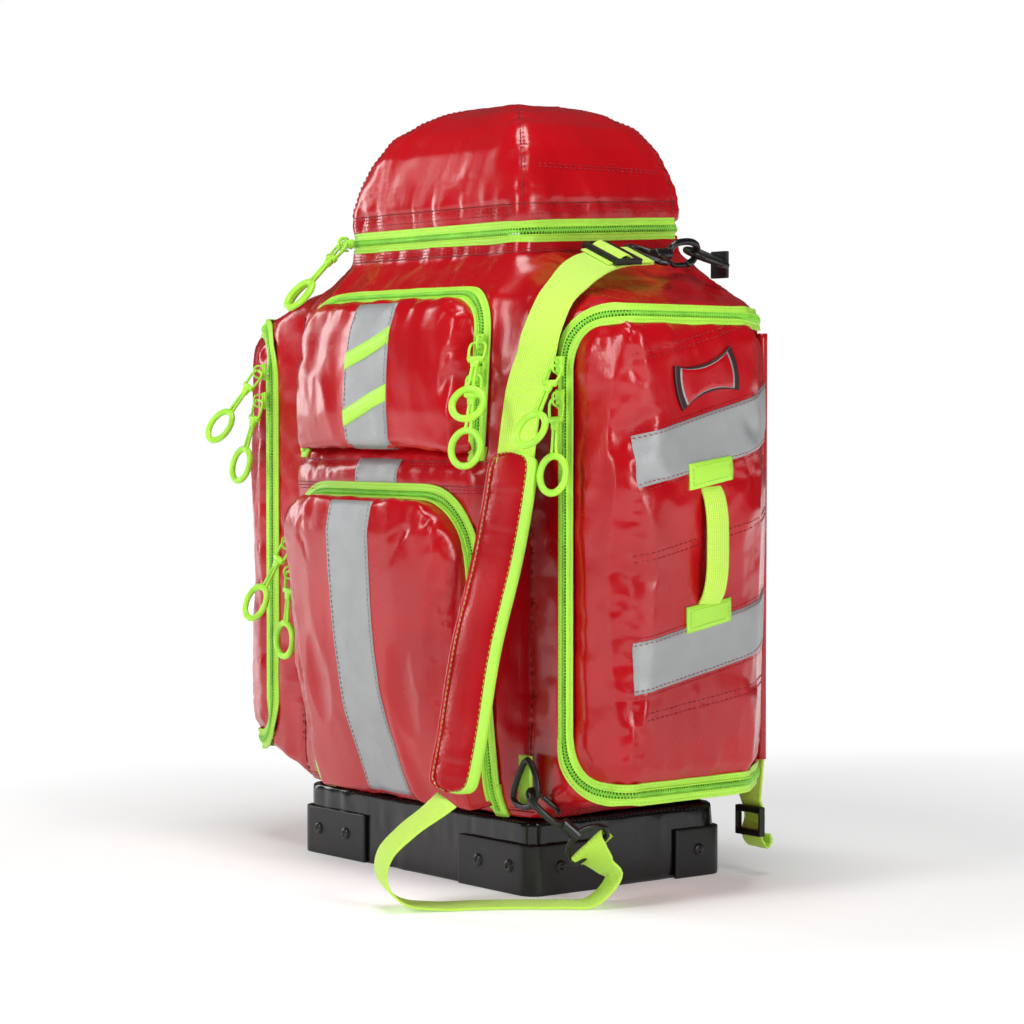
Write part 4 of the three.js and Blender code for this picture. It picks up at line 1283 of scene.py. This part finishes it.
def harness(side, hand):
    """A padded shoulder strap with its bindings, its webbing and the end through the ladder lock."""
    turn = [side * a for a in np.linspace(0.15, -0.3, 60)]
    hint = np.stack([np.cos(turn), np.zeros(60), -np.sin(turn)], 1)
    curve = spline(HARNESS_PAD * [side, 1, 1], 60)
    across, out = framed(curve, hint)
    t = np.linspace(-1, 1, 60)
    half = 33 * np.clip(1 - np.abs(t) ** 18, 0.05, 1) ** 0.5
    u = np.linspace(-1, 1, 13)
    crown = 4.3 * (1 - 0.7 * np.abs(u) ** 3)
    quilt = 1 - 0.3 * np.exp(-((((t[:, None] * 6) % 2) - 1) ** 2) / 0.03)
    top = np.stack([half[:, None] * u, crown * quilt], 2)
    section = np.concatenate([top, top[:, ::-1] * [1, -1]], 1)
    strap_pad = build(f"harness_pad_{hand}", *sweep(curve, across, out, section), black_mesh, "root")
    outward_faces(strap_pad)
    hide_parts(f"harness_strap_{hand}")
    for label, sign in (("inner", -1), ("outer", 1)):
        edge = curve + across * (half[:, None] * sign)
        outward_faces(build(f"harness_binding_{label}_{hand}", *sweep(edge, across, out, circle(2.1, 8, 1.3)),
                            black_binding, "root"))
    slope = [side * a for a in (-0.82, -0.82, 0.0, 0.0)]
    tail_hint = blend_rows([(math.cos(a), 0, -math.sin(a)) for a in slope], [0, 0.45, 0.8, 1], 50)
    tail = strap(f"harness_tail_{hand}", HARNESS_TAIL * [side, 1, 1], tail_hint, 25, 2.2, lime_web, "root",
                 50)
    stands(tail, f"harness_webbing_{hand}")
    strap(f"harness_fold_{hand}", HARNESS_FOLD * [side, 1, 1], (1, 0, 0), 24, 2.0, lime_web, "root", 50)


for side, hand in HANDS:
    harness(side, hand)


# ---- Hinges: cloth strips that meet on the hood's axis, piping on the side pockets' axes ----
def hinge_strip(name, low, high, body):
    """A sewn strip across the rear, just proud of the cloth."""
    middle, tall = (low + high) / 2, high - low
    line = [(x, 88.4 - (x / 98) ** 8 * 2.5, middle) for x in range(-98, 99, 14)]
    strip = strap(name, line, (0, 0, 1), tall, 1.3, red, body, 40)
    heap = Heap()
    for z in (low + 3, high - 3):
        row = np.array([[x, 89.1, z] for x in range(-92, 93, 4)], float)
        add_stitches(heap, row, np.array([0, 1.0, 0]), 3.0, 1.4, 0.32)
    heap.build(f"{name}_stitches", red_stitch, body)


hinge_strip("hood_hinge_strip_low", 505.5, 529.5, "root")
hinge_strip("hood_hinge_strip_high", 528.5, 545, "hood")
for side, hand in HANDS:
    line = [(side * 203.5, 95, z) for z in range(98, 445, 6)]
    welt = Heap().add(*tube(line, 4.5, (1, 0, 0))).build(f"side_hinge_welt_{hand}", red, "root")
    outward_faces(welt)


# ---- Zipper sliders and their ring pulls ----
# name, seat on the zipper, way out, up along the slider, lean and splay of its pull
SLIDERS = [
    ("hood_front", (-106, -85, 519), (-0.1, -1, 0), (0, 0, 1), 41, -10),
    ("hood_left", (-125.5, -68, 520), (-0.6, -0.8, 0), (0, 0, 1), 42, -4),
    ("upper_pocket_high", (119, -122, 430), (0.6, -0.8, 0), (0, 0.0624, 1), 33, 3),
    ("upper_pocket_low", (119, -123.4, 405), (0.46, -0.89, 0), (0, 0.0624, 1), 10, 0),
    ("lower_pocket_high", (-119, -131.8, 268), (-0.6, -0.8, 0), (0, -0.1, 0.995), 33, -3),
    ("lower_pocket_low", (-119, -129.6, 243), (-0.6, -0.8, 0), (0, -0.1, 0.995), 10, -3),
    ("left_pocket_high", (-202, -106, 412), (-0.5, -0.87, 0), (0, 0, 1), 36, -3),
    ("left_pocket_low", (-202, -106, 387), (-0.5, -0.87, 0), (0, 0, 1), 16, -3),
    ("right_pocket_high", (202, -106, 412), (0.25, -0.97, 0), (0, 0, 1), 34, 0),
    ("right_pocket_low", (202, -106, 387), (0.25, -0.97, 0), (0, 0, 1), 10, 4),
]
# how far a slider is over its zipper's line, and a pull's pin over its slider
LIFT, PIN = 5.2, 6.4
# the way some rings face, turned on their necks
TURNED = {"hood_left": (-0.4, -0.92, 0), "lower_pocket_high": (0, -1, 0), "lower_pocket_low": (0, -1, 0),
          "left_pocket_high": (0, -1, 0), "left_pocket_low": (0, -1, 0)}


def aimed(out, up, at):
    """The frame whose own -Y looks along `out` and whose Z runs along `up`."""
    z = unit(up)
    y = -np.asarray(out, float)
    y = unit(y - z * np.dot(y, z))
    return np.stack([np.cross(y, z), y, z]), np.array(at, float)


def placed(points, seat):
    """Points of a part moved to its seat."""
    axes, at = seat
    return np.asarray(points) @ axes + at


def hanging_way(out, up, lean, splay):
    """The way a pull hangs, from its lean outwards and its splay sideways in degrees."""
    side = unit(np.cross(up, out))
    tip, turn = math.radians(lean), math.radians(splay)
    return (-up * math.cos(turn) + side * math.sin(turn)) * math.cos(tip) + out * math.sin(tip)


def rounded_block(heap, half, centre, seat, taper=1.0):
    """A moulded block with chamfered edges; the low end may be narrower."""
    hx, hy, hz = half
    cut = min(half) * 0.35
    points = []
    for z, inset in ((-hz, cut), (-hz + cut, 0), (hz - cut, 0), (hz, cut)):
        scale = taper if z < 0 else 1.0
        x, y = (hx - inset) * scale, hy - inset
        c = cut * 0.8
        ring = [(x - c, -y, z), (x, -y + c, z), (x, y - c, z), (x - c, y, z)]
        points += [(-x + c, -y, z), *ring, *((-a, b, z) for a, b, _ in ring[:0:-1])]
    heap.add(placed(np.array(points) + centre, seat), rings(8, 4))


def slider_shape(name, seat, upright):
    """Slider: two plates with a waist, flanges, and an arched bridge for the pull."""
    heap = Heap()
    if upright:
        rounded_block(heap, (3.6, 1.1, 7.4), (0, -1.6, 0), seat, 0.78)
        rounded_block(heap, (3.3, 1.0, 6.8), (0, -3.4, 0.2), seat, 0.7)
    else:
        rounded_block(heap, (7.4, 1.1, 3.6), (0, -1.6, 0), seat)
        rounded_block(heap, (6.8, 1.0, 3.2), (0, -3.4, 0), seat)
    arch = [(0, -3.6, 5.2), (0, -8.5, 5.0), (0, -11.0, 3.0), (0, -11.4, 0), (0, -11.0, -3.0), (0, -8.5, -5.0),
            (0, -3.6, -5.2)]
    heap.add(*moved(tube(spline(arch, 22), 1.0, (1, 0, 0), sides=8, stretch=0.85), seat))
    obj = heap.build(f"slider_body_{name}", lime_plastic, f"slider_{name}")
    outward_faces(obj)
    stands(obj, f"slider_{name}")


def moved(shape, seat):
    """A whole shape moved to its seat."""
    points, faces = shape
    return placed(points, seat), faces


def pull_shape(name, seat):
    """Ring pull: wire bail, moulded collar, twin neck and a thick oval finger ring."""
    heap = Heap()
    half_bail = [(-5.6, 0, -15), (-6.4, 0, -9), (-6.0, 0, -2.5), (-3.6, 0, 0)]
    bail = half_bail + [(0, 0, 0.3)] + [(-x, y, z) for x, y, z in half_bail[::-1]]
    heap.add(*moved(tube(spline(bail, 34), 1.15, (0, 1, 0), sides=8), seat))
    rounded_block(heap, (7.0, 2.2, 2.2), (0, 0, -16), seat, 0.9)
    rounded_block(heap, (3.6, 2.0, 3.4), (0, 0, -20.5), seat, 0.8)
    for x in (-1.5, 1.5):
        neck = [(x, 0, -21), (x * 1.15, 0, -30), (x * 1.25, 0, -38), (x * 1.9, 0, -46.5)]
        heap.add(*moved(tube(spline(neck, 14), 1.35, (0, 1, 0), sides=8), seat))
    turns = np.linspace(0, 2 * math.pi, 40, endpoint=False)
    ring = np.stack([12.2 * np.sin(turns), turns * 0, -58 + 14.2 * np.cos(turns)], 1)
    heap.add(*moved(tube(ring, 2.5, (0, 1, 0), True, 12, 1.12), seat))
    obj = heap.build(f"ring_pull_{name}", lime_plastic, f"pull_{name}")
    outward_faces(obj)
    stands(obj, f"pull_{name}")


for name, seat, out, up, lean, splay in SLIDERS:
    out, up = np.array(out, float), np.array(up, float)
    way = unit(out - up * np.dot(out, up) / np.dot(up, up))
    base = np.array(seat, float) + way * LIFT
    slider_shape(name, aimed(way, up, base), not name.startswith("hood"))
    hang = hanging_way(way, unit(up), lean, splay)
    pull_shape(name, aimed(TURNED.get(name, way), -hang, base + way * PIN))


# ---- Base: coated tub, moulded bumpers, screws ----
TUB_RIGHT = np.array([[150, 92, 60], [155, 80, 60], [155, -90, 60], [143, -102, 60]], float)
tub_top = np.concatenate([TUB_RIGHT, TUB_RIGHT[::-1] * [-1, 1, 1]])
tub = soft_copy("tub_skin", "base_tub", "root", black_coated, 3.0, 3, 91, 0.6, [(resampled(tub_top, 4), 0.9)])
TUB = Surface(tub)
heap = Heap()
line, normal = laid([[x, 55.5 + 0.7 * math.sin(x / 17)] for x in range(-140, 141, 4)], FRONT, TUB)
add_stitches(heap, line + normal * 0.2, normal, 3.0, 1.5, 0.35)
for side in (-1, 1):
    line, normal = laid([[y, 55.5 + 0.6 * math.sin(y / 15)] for y in range(-88, 80, 4)], SIDE_WAYS[side], TUB)
    add_stitches(heap, line + normal * 0.2, normal, 3.0, 1.5, 0.35)
heap.build("tub_stitches", black_thread, "root")


def screw(heap, at, out):
    """Button-head screw: domed head with a hexagonal socket."""
    out = unit(out)
    side = unit(np.cross(out, (0, 0, 1)))
    up = np.cross(side, out)
    rows = [(5.2, -0.4), (5.2, 0.3), (4.8, 1.2), (3.9, 1.9), (2.9, 2.2), (2.1, 2.25), (2.05, 0.7)]
    socket = 2.5
    count = 24
    points = []
    for radius, lift in rows:
        for k in range(count):
            turn = 2 * math.pi * k / count
            reach = radius
            if radius < socket:
                reach = radius / max(math.cos((turn + math.pi / 6) % (math.pi / 3) - math.pi / 6), 0.5)
            points.append(at + side * reach * math.cos(turn) + up * reach * math.sin(turn) + out * lift)
    heap.add(points, rings(count, len(rows)))


screws = Heap()
for sx in (-1, 1):
    for x in (92, 132):
        screw(screws, np.array([sx * x, -106.2, 22.0]), (0, -1, 0))
        screw(screws, np.array([sx * x, 96.2, 22.0]), (0, 1, 0))
    for y in (-76, 68):
        screw(screws, np.array([sx * 159.2, y, 22.0]), (sx, 0, 0))
outward_faces(screws.build("bumper_screws", black_metal, "root"))


# ---- Hardware kept from the solids, with rounded edges ----
def finished(node, material, voxel, rounds):
    """Rounds a moulded or bent part by a fine remesh, as a modifier on the kept solid."""
    part = NODES[node]
    add(part, "REMESH", mode="VOXEL", voxel_size=voxel * MM)
    add(part, "SMOOTH", factor=0.5, iterations=rounds)
    for polygon in part.data.polygons:
        polygon.use_smooth = True
    part.modifiers["remesh"].use_smooth_shade = True
    dressed(part, material)


for label in ("upper", "lower"):
    finished(f"d_ring_{label}", black_plastic, 0.7, 4)
    finished(f"snap_hook_{label}", black_metal, 0.7, 4)
    finished(f"hook_gate_{label}", black_metal, 0.6, 3)
finished("tri_glide", black_plastic, 0.6, 7)
for corner in ("front_left", "front_right", "rear_left", "rear_right"):
    finished(f"corner_bumper_{corner}", black_plastic, 1.0, 9)
for hand in ("left", "right"):
    finished(f"ladder_lock_{hand}", black_plastic, 0.6, 4)
for node, material in (("frame_sheet", black_plastic), ("main_divider", black_binding),
                       ("ring_tab_upper", black_binding), ("ring_tab_lower", lime_tape)):
    part = NODES[node]
    add(part, "WELD", merge_threshold=0.00005)
    add(part, "BEVEL", width=0.0008, segments=2)
    dressed(part, material)


# ---- Stage, light, camera ----
def paper():
    """Matt white backdrop paper that glows, faintly by the object and fully further out."""
    m = Nodes("backdrop_paper", (0.88, 0.88, 0.88), 0.85, Emission_Color=(1, 1, 1, 1))
    m.tint(m.noise(700, 2), (0.86, 0.86, 0.86), (0.9, 0.9, 0.9))
    far = m.node("VectorMath", operation="LENGTH")
    m.link(m.place, far.inputs[0])
    glow = m.node("MapRange")
    m.link(far.outputs["Value"], glow.inputs["Value"])
    for socket, value in (("From Min", 0.45), ("From Max", 1.8), ("To Min", 0.22), ("To Max", 1.0)):
        glow.inputs[socket].default_value = value
    m.link(glow.outputs["Result"], m.shader.inputs["Emission Strength"])
    return m.material


def stage():
    """The floor, and a world that is dim as a light and white as a backdrop."""
    far = 9000
    corners = [[-far, -far, 0], [far, -far, 0], [far, far, 0], [-far, far, 0]]
    build("floor", corners, [[0, 1, 2, 3]], paper(), None, False)
    world = bpy.data.worlds.new("studio")
    world.use_nodes = True
    tree = world.node_tree
    background = tree.nodes["Background"]
    backdrop = tree.nodes.new("ShaderNodeBackground")
    for shader, strength in ((background, 0.06), (backdrop, 1.0)):
        shader.inputs["Color"].default_value = (1, 1, 1, 1)
        shader.inputs["Strength"].default_value = strength
    split = tree.nodes.new("ShaderNodeMixShader")
    path = tree.nodes.new("ShaderNodeLightPath")
    tree.links.new(path.outputs["Is Camera Ray"], split.inputs[0])
    tree.links.new(background.outputs[0], split.inputs[1])
    tree.links.new(backdrop.outputs[0], split.inputs[2])
    tree.links.new(split.outputs[0], tree.nodes["World Output"].inputs[0])
    bpy.context.scene.world = world
    bpy.context.scene.view_settings.view_transform = "Standard"


def softbox(name, place, aim, size, power):
    """A rectangular area light, in metres and watts."""
    light = bpy.data.lights.new(name, "AREA")
    light.shape = "RECTANGLE"
    light.size, light.size_y = size
    light.energy = power
    obj = bpy.data.objects.new(name, light)
    obj.location = place
    obj.rotation_euler = (Vector(aim) - Vector(place)).to_track_quat("-Z", "Y").to_euler()
    bpy.context.scene.collection.objects.link(obj)


def camera():
    """The view from the front right, tipped down a little."""
    data = bpy.data.cameras.new("camera")
    data.lens = 101.99
    obj = bpy.data.objects.new("camera", data)
    obj.location = (1.9149, -1.4961, 0.377)
    azimuth, pitch = math.radians(52), math.radians(1.97)
    away = Vector((-math.sin(azimuth), math.cos(azimuth), 0)) * math.cos(pitch)
    obj.rotation_euler = (away - Vector((0, 0, math.sin(pitch)))).to_track_quat("-Z", "Y").to_euler()
    bpy.context.scene.collection.objects.link(obj)
    bpy.context.scene.camera = obj


stage()
camera()
softbox("front", (0.1, -3.0, 1.5), (0, 0, 0.3), (0.8, 1.7), 43)
softbox("right", (3.0, -0.1, 1.2), (0.1, 0, 0.3), (0.7, 1.6), 38)
softbox("top", (0.3, -0.3, 2.7), (0, 0, 0.4), (1.0, 1.0), 34)
softbox("left", (-2.6, -0.9, 1.0), (0, 0, 0.3), (0.5, 1.6), 20)
